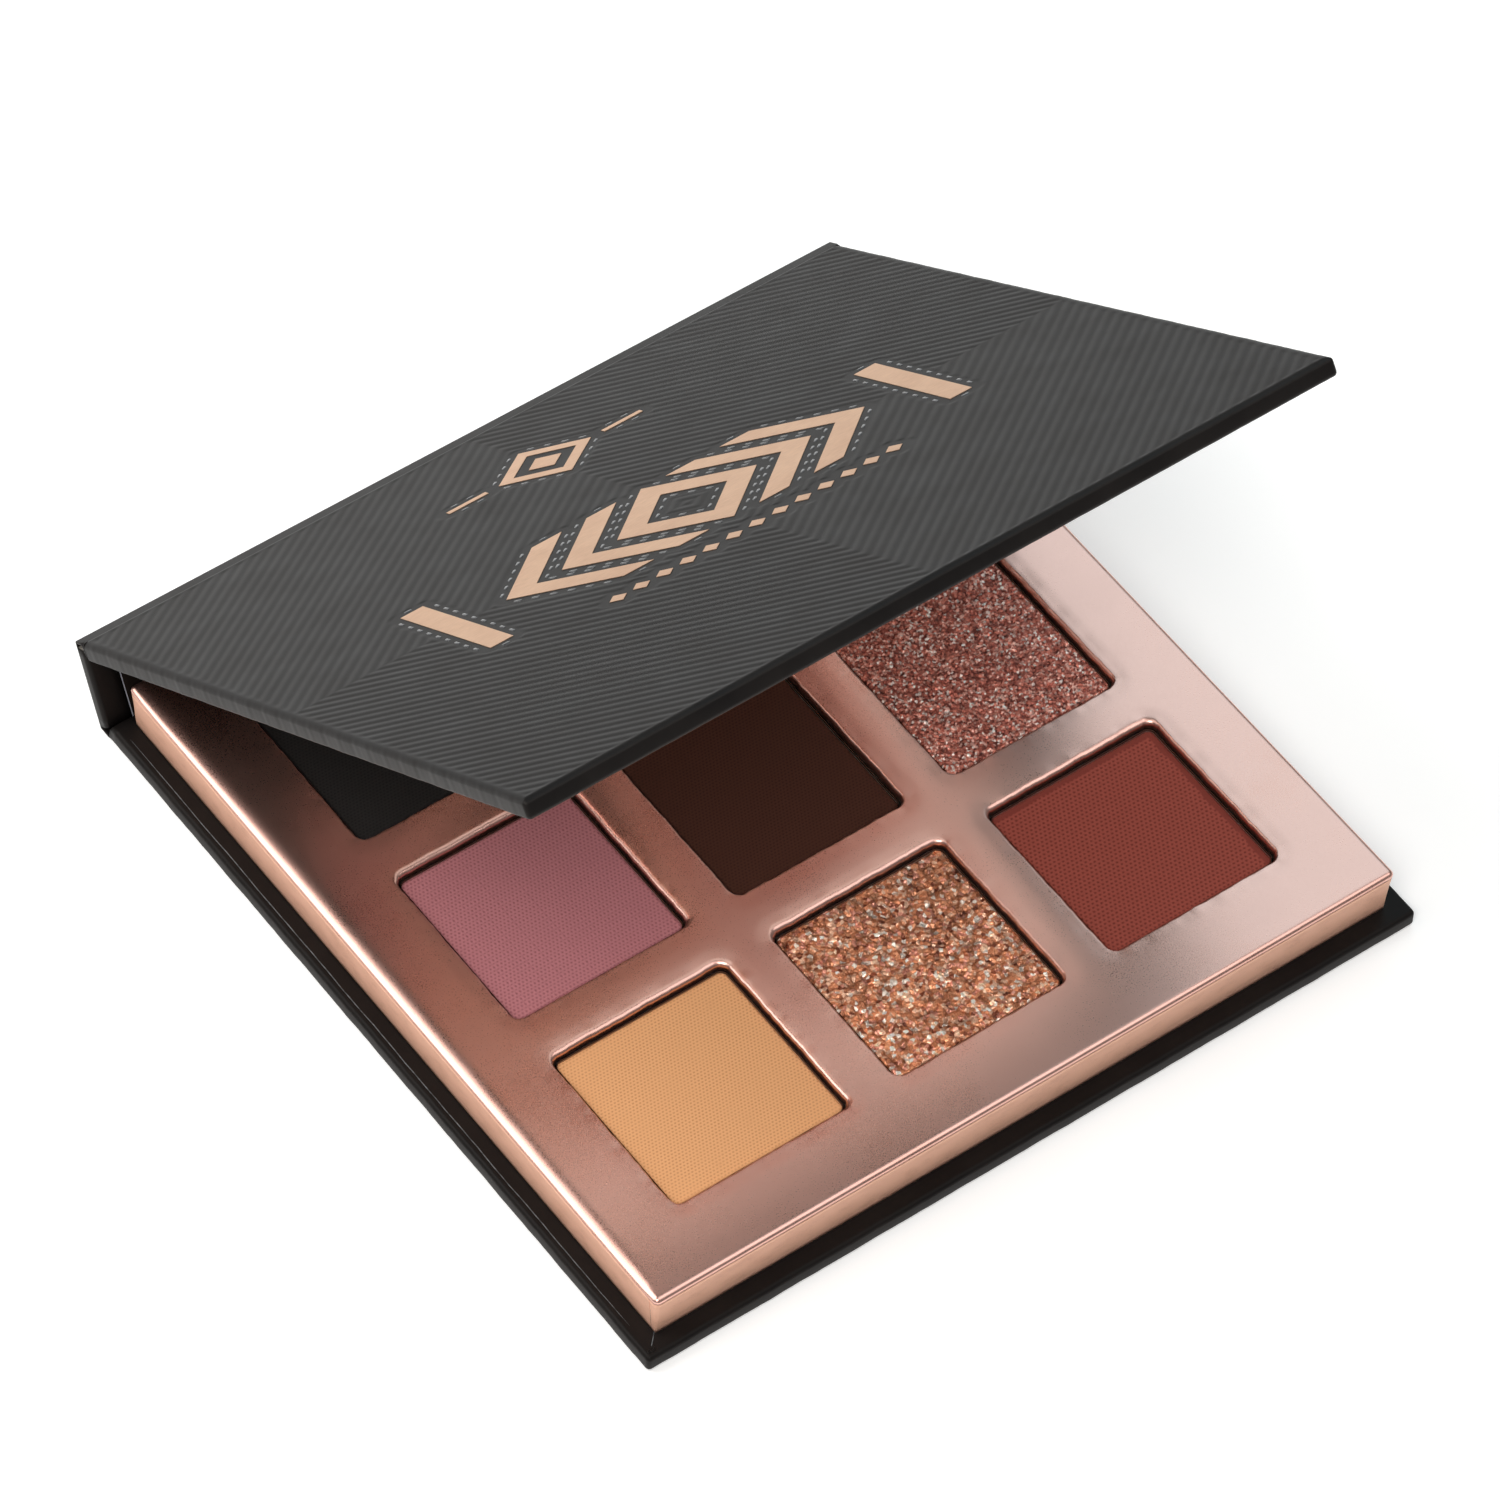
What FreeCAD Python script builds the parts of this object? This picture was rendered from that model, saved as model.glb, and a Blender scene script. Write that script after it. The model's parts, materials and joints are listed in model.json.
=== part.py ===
import FreeCAD, Part
import math
import os

from FreeCAD import Placement, Rotation, Vector

os.makedirs("parts", exist_ok=True)

# A book-style eyeshadow palette: a paper-wrapped board case (base, spine and lid) that
# hinges on two paper creases, with a foil-covered tray of nine pressed powders inside.
# Millimetres. X runs along the spine, the opening edge faces -Y and +Z is up.
# The origin is the middle of the underside of the base.
# It is built half open: the spine leans back and the lid stands clear of the tray.

# ---------------------------------------------------------------- driving sizes
CASE_WIDTH = 103.2          # along the spine
CASE_DEPTH = 103.4          # from the opening edge to the crease under the spine
BOARD = 2.0                 # grey board of the base and, in two layers, of the lid
SPINE_BOARD = 1.5
PAPER = 0.16                # cover paper and lining paper
TRAY_SIDE = 99.0            # measured at the top of the tray
TRAY_HEIGHT = 6.5
TRAY_TAPER = 0.5            # each side draws in this much towards the floor
FRONT_MARGIN = 1.9          # the case shows this much in front of the tray
FOIL = 0.12                 # foil-faced paper on the tray
FLOOR_BOARD = 1.0           # the tray is three boards, with windows in the upper two
LOWER_WINDOW_BOARD = 2.7
PITCH = 29.0                # window to window
WINDOW = 22.9
PAN_GAP = 0.25              # between a pan and the window around it
SINK = 1.0                  # the pans stand this far below the tray's face
SPINE_LEAN = 25.0           # degrees back from upright, as built
LID_LIFT = 36.3             # degrees up from level, as built

# ---------------------------------------------------------------- worked-out sizes
HALF_WIDTH = CASE_WIDTH / 2
FRONT = -CASE_DEPTH / 2
CREASE = CASE_DEPTH / 2
CREASE_GAP = 0.1            # each cover sheet stops this far from the line it folds on
LINING_GAP = 0.45           # each lining stops further back, clear of the next at a right angle
CASE_THICK = BOARD + 2 * PAPER
SPINE_THICK = SPINE_BOARD + 2 * PAPER
EDGE_RADIUS = 0.55          # wrapped board edges
SPINE_CLEARANCE = 0.3
BOARD_SETBACK = SPINE_THICK + SPINE_CLEARANCE - PAPER / 2   # board edge to crease
SPINE_MARGIN = 0.6          # spine board edge to either crease
TURN_IN = 3.4               # cover paper showing round the lining
MITRE_GAP = 0.06            # seam where two turned-in margins meet at a corner
MITRE_START = 0.4
MITRE_REACH = TURN_IN * 1.5

TRAY_FLOOR = CASE_THICK
TRAY_TOP = TRAY_FLOOR + TRAY_HEIGHT
TRAY_Y = FRONT + FRONT_MARGIN + TRAY_SIDE / 2
LOWER_BOARD_TOP = TRAY_FLOOR + FLOOR_BOARD + LOWER_WINDOW_BOARD
UPPER_BOARD_TOP = TRAY_TOP - FOIL
TRAY_CORNER = 0.7           # plan radius of the tray's upright edges
TRAY_EDGE = 0.8             # rounding over the top edge
LIP_RADIUS = 0.6            # rounding into each window
LIP_DEPTH = 1.4
WINDOW_CORNER = 1.2
SEAM_DROP = 1.0
SEAM = TRAY_TOP - SEAM_DROP  # where the top sheet meets the side wrap
SEAM_GAP = 0.06
SIDE_SEAM_FROM_CORNER = 1.3

PAN = WINDOW - 2 * PAN_GAP
PAN_WALL = 0.25
PAN_CORNER = 1.0
PAN_RIM = TRAY_TOP - SINK
GLUE = 0.1
PAN_FLOOR = TRAY_FLOOR + FLOOR_BOARD + GLUE
MATTE_DROP = 0.15           # powder surface below the pan rim
GLITTER_DROP = 0.05
POWDER_EDGE = 0.12
GLUE_PAD = 14.0
GLUE_PAD_CORNER = 2.0

LID_CLEARANCE = 0.4         # closed lid above the tray
SPINE_PITCH = TRAY_TOP + LID_CLEARANCE + CASE_THICK - PAPER   # crease to crease
LID_LENGTH = CASE_DEPTH
MIRROR = 80.0
MIRROR_THICK = 0.95
MIRROR_CORNER = 0.8
MIRROR_SLACK = 0.25
MIRROR_OVERLAP = 1.5        # lining over the mirror's rim
OPENING_CORNER = 0.6        # of the lining's opening over the mirror
LID_LAYER = BOARD / 2
TAPE = 0.05
TAPE_LENGTH = MIRROR * 0.85
TAPE_WIDTH = 18.0
TAPE_SPACING = MIRROR * 0.6

MAGNET = 6.0
MAGNET_THICK = 0.9
MAGNET_SLACK = 0.1
MAGNET_X = PITCH / 2
MAGNET_INSET = 4.6          # from the tray's front edge
MAGNET_Y = TRAY_Y - TRAY_SIDE / 2 + MAGNET_INSET

STAMP = 0.05                # depth of the foil stamping in the lid's paper

CLOSE = 1e-4                # two places nearer than this are the same place

ROWS = ("front", "middle", "back")
COLUMNS = ("left", "centre", "right")
GLITTERS = (("front", "centre"), ("middle", "right"), ("back", "centre"))

# Where the two moving panels stand. Each is modelled lying flat, outer face down, with
# its own crease on the X axis, then swung up about that crease.
LOWER_CREASE = Vector(0, CREASE, PAPER / 2)
SPINE_TURN = 90.0 - SPINE_LEAN
SPINE_PLACE = Placement(LOWER_CREASE, Rotation(Vector(1, 0, 0), SPINE_TURN))
UPPER_CREASE = SPINE_PLACE.multVec(Vector(0, SPINE_PITCH, 0))
LID_PLACE = Placement(UPPER_CREASE, Rotation(Vector(1, 0, 0), 180.0 - LID_LIFT))

# ---------------------------------------------------------------- shared shapes


def block(x0, x1, y0, y1, z0, z1):
    """A box between two corners."""
    return Part.makeBox(x1 - x0, y1 - y0, z1 - z0, Vector(x0, y0, z0))


def fuse_all(shapes):
    """One solid out of shapes that touch or overlap."""
    joined = shapes[0].multiFuse(shapes[1:])
    return joined.removeSplitter()


def rounded_square(size, corner, z, y=0.0, x=0.0):
    """A closed wire: a square with round corners, at height z."""
    half = size / 2
    flat = half - corner
    cut = corner * (1 - math.sqrt(0.5))
    points = [
        (-flat, -half), (flat, -half), (half - cut, -half + cut), (half, -flat),
        (half, flat), (half - cut, half - cut), (flat, half),
        (-flat, half), (-half + cut, half - cut), (-half, flat),
        (-half, -flat), (-half + cut, -half + cut),
    ]
    p = [Vector(px + x, py + y, z) for px, py in points]
    edges = []
    for side in range(4):
        start = 3 * side
        edges.append(Part.makeLine(p[start], p[start + 1]))
        edges.append(Part.Arc(p[start + 1], p[start + 2], p[(start + 3) % 12]).toShape())
    return Part.Wire(edges)


def rounded_prism(size, corner, z0, z1, x=0.0, y=0.0):
    """An upright rounded square bar."""
    face = Part.Face(rounded_square(size, corner, z0, y, x))
    return face.extrude(Vector(0, 0, z1 - z0))


def soft_panel(inset, y0, y1, z0, z1, front=None):
    """A flat panel with its two ends, and its front if it has one, rounded like wrapped board."""
    half = HALF_WIDTH - inset
    radius = EDGE_RADIUS - inset
    panel = block(-half, half, y0, y1, z0, z1)
    chosen = []
    for edge in panel.Edges:
        box = edge.BoundBox
        at_end = abs(abs(box.XMin) - half) < CLOSE and box.XLength < CLOSE
        at_front = front is not None and abs(box.YMin - front) < CLOSE and box.YLength < CLOSE
        along_end = at_end and box.YLength > CLOSE
        if along_end or at_front:
            chosen.append(edge)
    return panel.makeFillet(radius, chosen)


def cover_paper(y0, y1, front, board, lining_area, tongue_to):
    """Cover paper of one panel: outer sheet, wrapped edges and turned-in margins.

    tongue_to is where the outer sheet runs on past the board to the crease.
    """
    outer = soft_panel(0, y0, y1, -PAPER / 2, board.BoundBox.ZMax + PAPER, front)
    paper = outer.cut(board).cut(lining_area)
    tongues = []
    for start, end in tongue_to:
        tongues.append(block(-HALF_WIDTH, HALF_WIDTH, start, end, -PAPER / 2, PAPER / 2))
    return fuse_all([paper] + tongues)


def lining_paper(y0, y1, board, margins):
    """Lining on a panel's inner face that also steps down into the fold beside the board."""
    half = HALF_WIDTH - TURN_IN
    top = board.BoundBox.ZMax
    pieces = [block(-half, half, y0, y1, top, top + PAPER)]
    for edge, crease in margins:
        side = 1 if crease > edge else -1
        wall = sorted((edge, edge + side * PAPER))
        strip = sorted((edge, crease - side * LINING_GAP))
        pieces.append(block(-half, half, wall[0], wall[1], PAPER / 2, top + PAPER))
        pieces.append(block(-half, half, strip[0], strip[1], PAPER / 2, PAPER * 1.5))
    return fuse_all(pieces)


def cut_mitres(paper, front, inward, z0, z1):
    """Open the slanting seams where two turned-in margins meet at the front corners."""
    for side in (-1, 1):
        slit = block(-MITRE_GAP / 2, MITRE_GAP / 2, MITRE_START, MITRE_REACH, z0, z1)
        slit.rotate(Vector(0, 0, 0), Vector(0, 0, 1), side * inward * 45.0)
        if inward < 0:
            slit.rotate(Vector(0, 0, 0), Vector(0, 0, 1), 180.0)
        slit.translate(Vector(side * HALF_WIDTH, front, 0))
        paper = paper.cut(slit)
    return paper


# ---------------------------------------------------------------- base of the case
# Heights in the base count from the middle of its outer paper, like the other panels,
# and the finished shapes are lifted by half a sheet.

BASE_BACK = CREASE - BOARD_SETBACK
BASE_PLACE = Placement(Vector(0, 0, PAPER / 2), Rotation())


def make_base_board():
    low = PAPER / 2
    return soft_panel(PAPER, FRONT + PAPER, BASE_BACK, low, low + BOARD, FRONT + PAPER)


def base_lining_area():
    half = HALF_WIDTH - TURN_IN
    low = PAPER / 2 + BOARD
    return block(-half, half, FRONT + TURN_IN, BASE_BACK, low, low + PAPER)


def make_base_cover(board):
    paper = cover_paper(
        FRONT, BASE_BACK, FRONT, board, base_lining_area(), [(BASE_BACK, CREASE - CREASE_GAP)])
    low = PAPER / 2 + BOARD
    return cut_mitres(paper, FRONT, 1, low, low + PAPER)


def make_base_lining(board):
    return lining_paper(FRONT + TURN_IN, BASE_BACK, board, [(BASE_BACK, CREASE)])


# ---------------------------------------------------------------- spine of the case

SPINE_START = SPINE_MARGIN
SPINE_END = SPINE_PITCH - SPINE_MARGIN


def make_spine_board():
    low = PAPER / 2
    return soft_panel(PAPER, SPINE_START, SPINE_END, low, low + SPINE_BOARD)


def make_spine_cover(board):
    half = HALF_WIDTH - TURN_IN
    low = PAPER / 2 + SPINE_BOARD
    lining_area = block(-half, half, SPINE_START, SPINE_END, low, low + PAPER)
    tongues = [(CREASE_GAP, SPINE_START), (SPINE_END, SPINE_PITCH - CREASE_GAP)]
    return cover_paper(SPINE_START, SPINE_END, None, board, lining_area, tongues)


def make_spine_lining(board):
    margins = [(SPINE_START, 0.0), (SPINE_END, SPINE_PITCH)]
    return lining_paper(SPINE_START, SPINE_END, board, margins)


# ---------------------------------------------------------------- lid of the case

LID_START = BOARD_SETBACK
LID_MIDDLE = LID_LENGTH / 2
LID_MAGNET_Y = CREASE - MAGNET_Y        # the lid's own y of a point over the tray's y, closed
LAYER_TOP = PAPER / 2 + LID_LAYER
LID_BOARD_TOP = PAPER / 2 + BOARD


def whole_lid_board():
    return soft_panel(
        PAPER, LID_START, LID_LENGTH - PAPER, PAPER / 2, LID_BOARD_TOP, LID_LENGTH - PAPER)


def lid_slice(z0, z1):
    return block(-HALF_WIDTH, HALF_WIDTH, 0, LID_LENGTH, z0, z1)


def make_lid_outer_board():
    return whole_lid_board().common(lid_slice(PAPER / 2, LAYER_TOP))


def make_lid_frame_board():
    """The inner layer: a frame round the mirror, with two holes for the magnets."""
    frame = whole_lid_board().common(lid_slice(LAYER_TOP, LID_BOARD_TOP))
    recess = rounded_prism(
        MIRROR + 2 * MIRROR_SLACK, MIRROR_CORNER + MIRROR_SLACK, LAYER_TOP, LID_BOARD_TOP,
        0, LID_MIDDLE)
    frame = frame.cut(recess)
    for side in (-1, 1):
        hole = Part.makeCylinder(
            MAGNET / 2 + MAGNET_SLACK, LID_LAYER, Vector(side * MAGNET_X, LID_MAGNET_Y, LAYER_TOP))
        frame = frame.cut(hole)
    return frame


def make_lid_magnet(side):
    place = Vector(side * MAGNET_X, LID_MAGNET_Y, LID_BOARD_TOP - MAGNET_THICK)
    return Part.makeCylinder(MAGNET / 2, MAGNET_THICK, place)


def make_mirror():
    low = LAYER_TOP + TAPE
    return rounded_prism(MIRROR, MIRROR_CORNER, low, low + MIRROR_THICK, 0, LID_MIDDLE)


def make_mirror_tape():
    """Two strips of double-sided tape behind the mirror, with a bare middle between them."""
    strips = []
    for side in (-1, 1):
        middle = LID_MIDDLE + side * TAPE_SPACING / 2
        strips.append(block(
            -TAPE_LENGTH / 2, TAPE_LENGTH / 2, middle - TAPE_WIDTH / 2, middle + TAPE_WIDTH / 2,
            LAYER_TOP, LAYER_TOP + TAPE))
    return Part.Compound(strips)


def make_lid_lining(board):
    lining = lining_paper(
        LID_START, LID_LENGTH - TURN_IN, board, [(LID_START, 0.0)])
    opening = rounded_prism(
        MIRROR - 2 * MIRROR_OVERLAP, OPENING_CORNER, LID_BOARD_TOP, LID_BOARD_TOP + PAPER,
        0, LID_MIDDLE)
    return lining.cut(opening)


def make_lid_cover(board, stamping):
    half = HALF_WIDTH - TURN_IN
    lining_area = block(
        -half, half, LID_START, LID_LENGTH - TURN_IN, LID_BOARD_TOP, LID_BOARD_TOP + PAPER)
    paper = cover_paper(
        LID_START, LID_LENGTH, LID_LENGTH, board, lining_area, [(CREASE_GAP, LID_START)])
    paper = cut_mitres(paper, LID_LENGTH, -1, LID_BOARD_TOP, LID_BOARD_TOP + PAPER)
    return paper.cut(stamping)


# ---------------------------------------------------------------- ornament stamped on the lid
# A band of nested lozenges between two bars, a small lozenge above it and a row of
# beads below it. u runs along the spine and v runs from the lid's middle to the spine.

BAND_HEIGHT = 20.3
BAND_WIDTH = 63.0
BAND_STROKE = 2.9
LOZENGE_HALF = 9.2
CHEVRON_STEP = 7.2
CHEVRONS = 2
CREST_V = 31.8              # small lozenge
CREST_HALF = 6.2
CREST_STROKE = 1.4
CREST_HEART = 2.2           # solid lozenge inside it
RULE_GAP = 1.6
RULE_LENGTH = 5.2
RULE_THICK = 0.8
BEAD_V = -15.0              # row of beads
BEADS = 13
BEAD_STEP = 3.0
BEAD_HALF = 1.1


def stamped(points):
    """A foil shape from its outline, flush with the lid's outer face."""
    corners = [Vector(u, LID_MIDDLE - v, -PAPER / 2) for u, v in points]
    outline = Part.makePolygon(corners + corners[:1])
    return Part.Face(outline).extrude(Vector(0, 0, STAMP))


def lozenge(u, v, half_u, half_v):
    return stamped([(u + half_u, v), (u, v + half_v), (u - half_u, v), (u, v - half_v)])


def bar(u0, u1, v0, v1):
    return stamped([(u0, v0), (u1, v0), (u1, v1), (u0, v1)])


def chevron(tip, side):
    """Half a lozenge outline with its point at u = tip, facing outwards."""
    rise = BAND_HEIGHT / 2
    width = BAND_STROKE * math.hypot(LOZENGE_HALF, rise) / rise
    foot = tip - LOZENGE_HALF
    outline = [
        (tip, 0), (foot, rise), (foot - width, rise),
        (tip - width, 0), (foot - width, -rise), (foot, -rise),
    ]
    return stamped([(side * u, v) for u, v in outline])


def ring_lozenge(u, v, half_u, half_v, stroke):
    """A lozenge outline of even stroke."""
    shrink = stroke * math.hypot(half_u, half_v) / (half_u * half_v)
    inner = lozenge(u, v, half_u * (1 - shrink), half_v * (1 - shrink))
    return lozenge(u, v, half_u, half_v).cut(inner)


def make_stamping():
    rise = BAND_HEIGHT / 2
    shapes = [ring_lozenge(0, 0, LOZENGE_HALF, rise, BAND_STROKE)]
    for side in (-1, 1):
        for step in range(1, CHEVRONS + 1):
            shapes.append(chevron(LOZENGE_HALF + step * CHEVRON_STEP, side))
        outer = side * BAND_WIDTH / 2
        inner = outer - side * BAND_STROKE
        shapes.append(bar(min(outer, inner), max(outer, inner), -rise, rise))
        start = side * (CREST_HALF + RULE_GAP)
        end = start + side * RULE_LENGTH
        shapes.append(bar(
            min(start, end), max(start, end), CREST_V - RULE_THICK / 2, CREST_V + RULE_THICK / 2))
    shapes.append(ring_lozenge(0, CREST_V, CREST_HALF, CREST_HALF, CREST_STROKE))
    shapes.append(lozenge(0, CREST_V, CREST_HEART, CREST_HEART))
    for index in range(BEADS):
        u = (index - (BEADS - 1) / 2) * BEAD_STEP
        shapes.append(lozenge(u, BEAD_V, BEAD_HALF, BEAD_HALF))
    return Part.Compound(shapes)


# ---------------------------------------------------------------- tray


def window_centre(row, column):
    return (column - 1) * PITCH, TRAY_Y + (row - 1) * PITCH


def tray_body(shrink, z0, z1):
    """The tapering outside of the tray between two heights, drawn in by shrink."""
    def side_at(z):
        drawn_in = TRAY_TAPER * (TRAY_TOP - z) / TRAY_HEIGHT
        return TRAY_SIDE - 2 * (shrink + drawn_in)
    corner = TRAY_CORNER - shrink
    low = rounded_square(side_at(z0), corner, z0, TRAY_Y)
    high = rounded_square(side_at(z1), corner, z1, TRAY_Y)
    return Part.makeLoft([low, high], True, True)


def windows(size, corner, z0, z1):
    cutters = []
    for row in range(3):
        for column in range(3):
            x, y = window_centre(row, column)
            cutters.append(rounded_prism(size, corner, z0, z1, x, y))
    return cutters


def round_top(body, top, edge_radius, lip_radius):
    """Round the outer top edge and the edge of every window."""
    outer, lips = [], []
    outer_windows = PITCH + WINDOW / 2
    border = (outer_windows + TRAY_SIDE / 2) / 2
    for edge in body.Edges:
        box = edge.BoundBox
        if box.ZLength > CLOSE or abs(box.ZMax - top) > CLOSE:
            continue
        middle = box.Center
        near_side = max(abs(middle.x), abs(middle.y - TRAY_Y)) > border
        (outer if near_side else lips).append(edge)
    body = body.makeFillet(edge_radius, outer)
    again = []
    for edge in body.Edges:
        for lip in lips:
            if edge.CenterOfMass.distanceToPoint(lip.CenterOfMass) < CLOSE:
                again.append(edge)
    return body.makeFillet(lip_radius, again)


def make_tray_floor():
    return tray_body(FOIL, TRAY_FLOOR, TRAY_FLOOR + FLOOR_BOARD)


def make_lower_window_board():
    low = TRAY_FLOOR + FLOOR_BOARD
    board = tray_body(FOIL, low, LOWER_BOARD_TOP)
    for cutter in windows(WINDOW + 2 * FOIL, WINDOW_CORNER + FOIL, low, LOWER_BOARD_TOP):
        board = board.cut(cutter)
    return board


def upper_board_blank():
    board = tray_body(FOIL, LOWER_BOARD_TOP, UPPER_BOARD_TOP)
    opening = windows(WINDOW + 2 * FOIL, WINDOW_CORNER + FOIL, LOWER_BOARD_TOP, UPPER_BOARD_TOP)
    for cutter in opening:
        board = board.cut(cutter)
    return round_top(board, UPPER_BOARD_TOP, TRAY_EDGE - FOIL, LIP_RADIUS)


def make_upper_window_board(blank):
    board = blank
    for side in (-1, 1):
        low = UPPER_BOARD_TOP - MAGNET_THICK
        hole = Part.makeCylinder(
            MAGNET / 2 + MAGNET_SLACK, MAGNET_THICK, Vector(side * MAGNET_X, MAGNET_Y, low))
        board = board.cut(hole)
    return board


def make_tray_magnet(side):
    low = UPPER_BOARD_TOP - MAGNET_THICK
    return Part.makeCylinder(MAGNET / 2, MAGNET_THICK, Vector(side * MAGNET_X, MAGNET_Y, low))


def side_band(top):
    return tray_body(0, TRAY_FLOOR, top).cut(tray_body(FOIL, TRAY_FLOOR, top))


def make_side_wrap():
    """The foil band round the tray's side, with its joint near the front left corner."""
    band = side_band(SEAM - SEAM_GAP)
    seam_y = TRAY_Y - TRAY_SIDE / 2 + SIDE_SEAM_FROM_CORNER
    left = -TRAY_SIDE / 2
    inner = left + TRAY_TAPER + 2 * FOIL
    slit = block(left - FOIL, inner, seam_y, seam_y + SEAM_GAP, TRAY_FLOOR, SEAM)
    return band.cut(slit)


def make_top_sheet(blank):
    """The foil sheet over the tray, rolled down into the windows and over the outer edge."""
    low = TRAY_TOP - LIP_DEPTH
    sheet = tray_body(0, low, TRAY_TOP)
    for cutter in windows(WINDOW, WINDOW_CORNER, low, TRAY_TOP):
        sheet = sheet.cut(cutter)
    sheet = round_top(sheet, TRAY_TOP, TRAY_EDGE, LIP_RADIUS + FOIL)
    return sheet.cut(blank).cut(side_band(SEAM))


# ---------------------------------------------------------------- pans and powders


def make_pan(x, y):
    outside = rounded_prism(PAN, PAN_CORNER, PAN_FLOOR, PAN_RIM, x, y)
    inside = rounded_prism(
        PAN - 2 * PAN_WALL, PAN_CORNER - PAN_WALL, PAN_FLOOR + PAN_WALL, PAN_RIM, x, y)
    return outside.cut(inside)


def make_powder(x, y, drop):
    top = PAN_RIM - drop
    powder = rounded_prism(
        PAN - 2 * PAN_WALL, PAN_CORNER - PAN_WALL, PAN_FLOOR + PAN_WALL, top, x, y)
    rim = [e for e in powder.Edges if e.BoundBox.ZMin > top - CLOSE]
    return powder.makeFillet(POWDER_EDGE, rim)


def make_glue_pads():
    low = TRAY_FLOOR + FLOOR_BOARD
    pads = []
    for row in range(3):
        for column in range(3):
            x, y = window_centre(row, column)
            pads.append(rounded_prism(GLUE_PAD, GLUE_PAD_CORNER, low, low + GLUE, x, y))
    return Part.Compound(pads)


# ---------------------------------------------------------------- build and save


def save(name, shape, place=None):
    shape = shape.copy()
    if place is not None:
        shape.Placement = place.multiply(shape.Placement)
    shape.exportStep("parts/" + name + ".step")


def save_case():
    board = make_base_board()
    save("base_board", board, BASE_PLACE)
    save("base_cover_paper", make_base_cover(board), BASE_PLACE)
    save("base_lining", make_base_lining(board), BASE_PLACE)

    board = make_spine_board()
    save("spine_board", board, SPINE_PLACE)
    save("spine_cover_paper", make_spine_cover(board), SPINE_PLACE)
    save("spine_lining", make_spine_lining(board), SPINE_PLACE)

    board = whole_lid_board()
    stamping = make_stamping()
    save("lid_outer_board", make_lid_outer_board(), LID_PLACE)
    save("lid_mirror_frame_board", make_lid_frame_board(), LID_PLACE)
    save("lid_cover_paper", make_lid_cover(board, stamping), LID_PLACE)
    save("lid_foil_ornament", stamping, LID_PLACE)
    save("lid_lining", make_lid_lining(board), LID_PLACE)
    save("lid_mirror", make_mirror(), LID_PLACE)
    save("lid_mirror_tape", make_mirror_tape(), LID_PLACE)
    for side, word in ((-1, "left"), (1, "right")):
        save("lid_magnet_" + word, make_lid_magnet(side), LID_PLACE)


def save_tray():
    blank = upper_board_blank()
    save("tray_floor_board", make_tray_floor())
    save("tray_lower_window_board", make_lower_window_board())
    save("tray_upper_window_board", make_upper_window_board(blank))
    save("tray_foil_top_sheet", make_top_sheet(blank))
    save("tray_foil_side_wrap", make_side_wrap())
    for side, word in ((-1, "left"), (1, "right")):
        save("tray_magnet_" + word, make_tray_magnet(side))


def save_pans():
    save("pan_glue_pads", make_glue_pads())
    for row, row_name in enumerate(ROWS):
        for column, column_name in enumerate(COLUMNS):
            x, y = window_centre(row, column)
            drop = GLITTER_DROP if (row_name, column_name) in GLITTERS else MATTE_DROP
            place = row_name + "_" + column_name
            save("pan_" + place, make_pan(x, y))
            save("powder_" + place, make_powder(x, y, drop))


save_case()
save_tray()
save_pans()
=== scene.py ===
import json
import math

import bmesh
import bpy
import numpy as np
from mathutils import Matrix, Vector


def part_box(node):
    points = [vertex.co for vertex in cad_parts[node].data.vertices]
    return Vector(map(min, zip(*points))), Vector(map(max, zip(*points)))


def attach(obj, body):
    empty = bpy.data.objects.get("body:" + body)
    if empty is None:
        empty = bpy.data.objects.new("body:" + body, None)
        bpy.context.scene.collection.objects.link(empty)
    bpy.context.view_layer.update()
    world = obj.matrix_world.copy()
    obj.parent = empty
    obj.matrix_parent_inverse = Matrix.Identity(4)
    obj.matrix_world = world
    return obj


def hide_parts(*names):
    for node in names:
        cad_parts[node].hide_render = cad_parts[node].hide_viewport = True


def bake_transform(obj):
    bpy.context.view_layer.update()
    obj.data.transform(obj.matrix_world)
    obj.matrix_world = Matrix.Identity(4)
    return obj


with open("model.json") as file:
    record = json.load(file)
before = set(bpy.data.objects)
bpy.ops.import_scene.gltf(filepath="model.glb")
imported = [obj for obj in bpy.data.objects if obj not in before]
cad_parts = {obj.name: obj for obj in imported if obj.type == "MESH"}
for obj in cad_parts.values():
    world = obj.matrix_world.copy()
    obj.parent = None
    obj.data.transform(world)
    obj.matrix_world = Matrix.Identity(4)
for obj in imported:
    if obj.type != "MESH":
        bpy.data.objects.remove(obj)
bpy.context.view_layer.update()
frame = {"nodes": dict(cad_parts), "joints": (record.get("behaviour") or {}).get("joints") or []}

# An eyeshadow palette: black paper-wrapped case with a ridged lid, foil-covered tray and
# nine pressed powders. Shapes are worked out in millimetres and scaled to metres at the end.
# X runs along the spine, the opening edge faces -Y and +Z is up.

MM = 0.001


# ---- sizes from the frame


def box_mm(node):
    low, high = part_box(node)
    return [value / MM for value in low], [value / MM for value in high]


def joint(name):
    return next(j for j in frame["joints"] if j["name"] == name)


LOWER_CREASE = Vector(joint("spine_hinge")["pos_m"]) / MM
UPPER_CREASE = Vector(joint("lid_hinge")["pos_m"]) / MM
SPINE_LEAN = -joint("spine_hinge")["range_deg"][0]
LID_LIFT = SPINE_LEAN - joint("lid_hinge")["range_deg"][0]
SPINE_PITCH = (UPPER_CREASE - LOWER_CREASE).length

CASE_LOW, CASE_HIGH = box_mm("base_cover_paper")
TRAY_LOW, TRAY_HIGH = box_mm("tray_foil_top_sheet")
PAN_LOW, PAN_HIGH = box_mm("pan_middle_centre")

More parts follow.
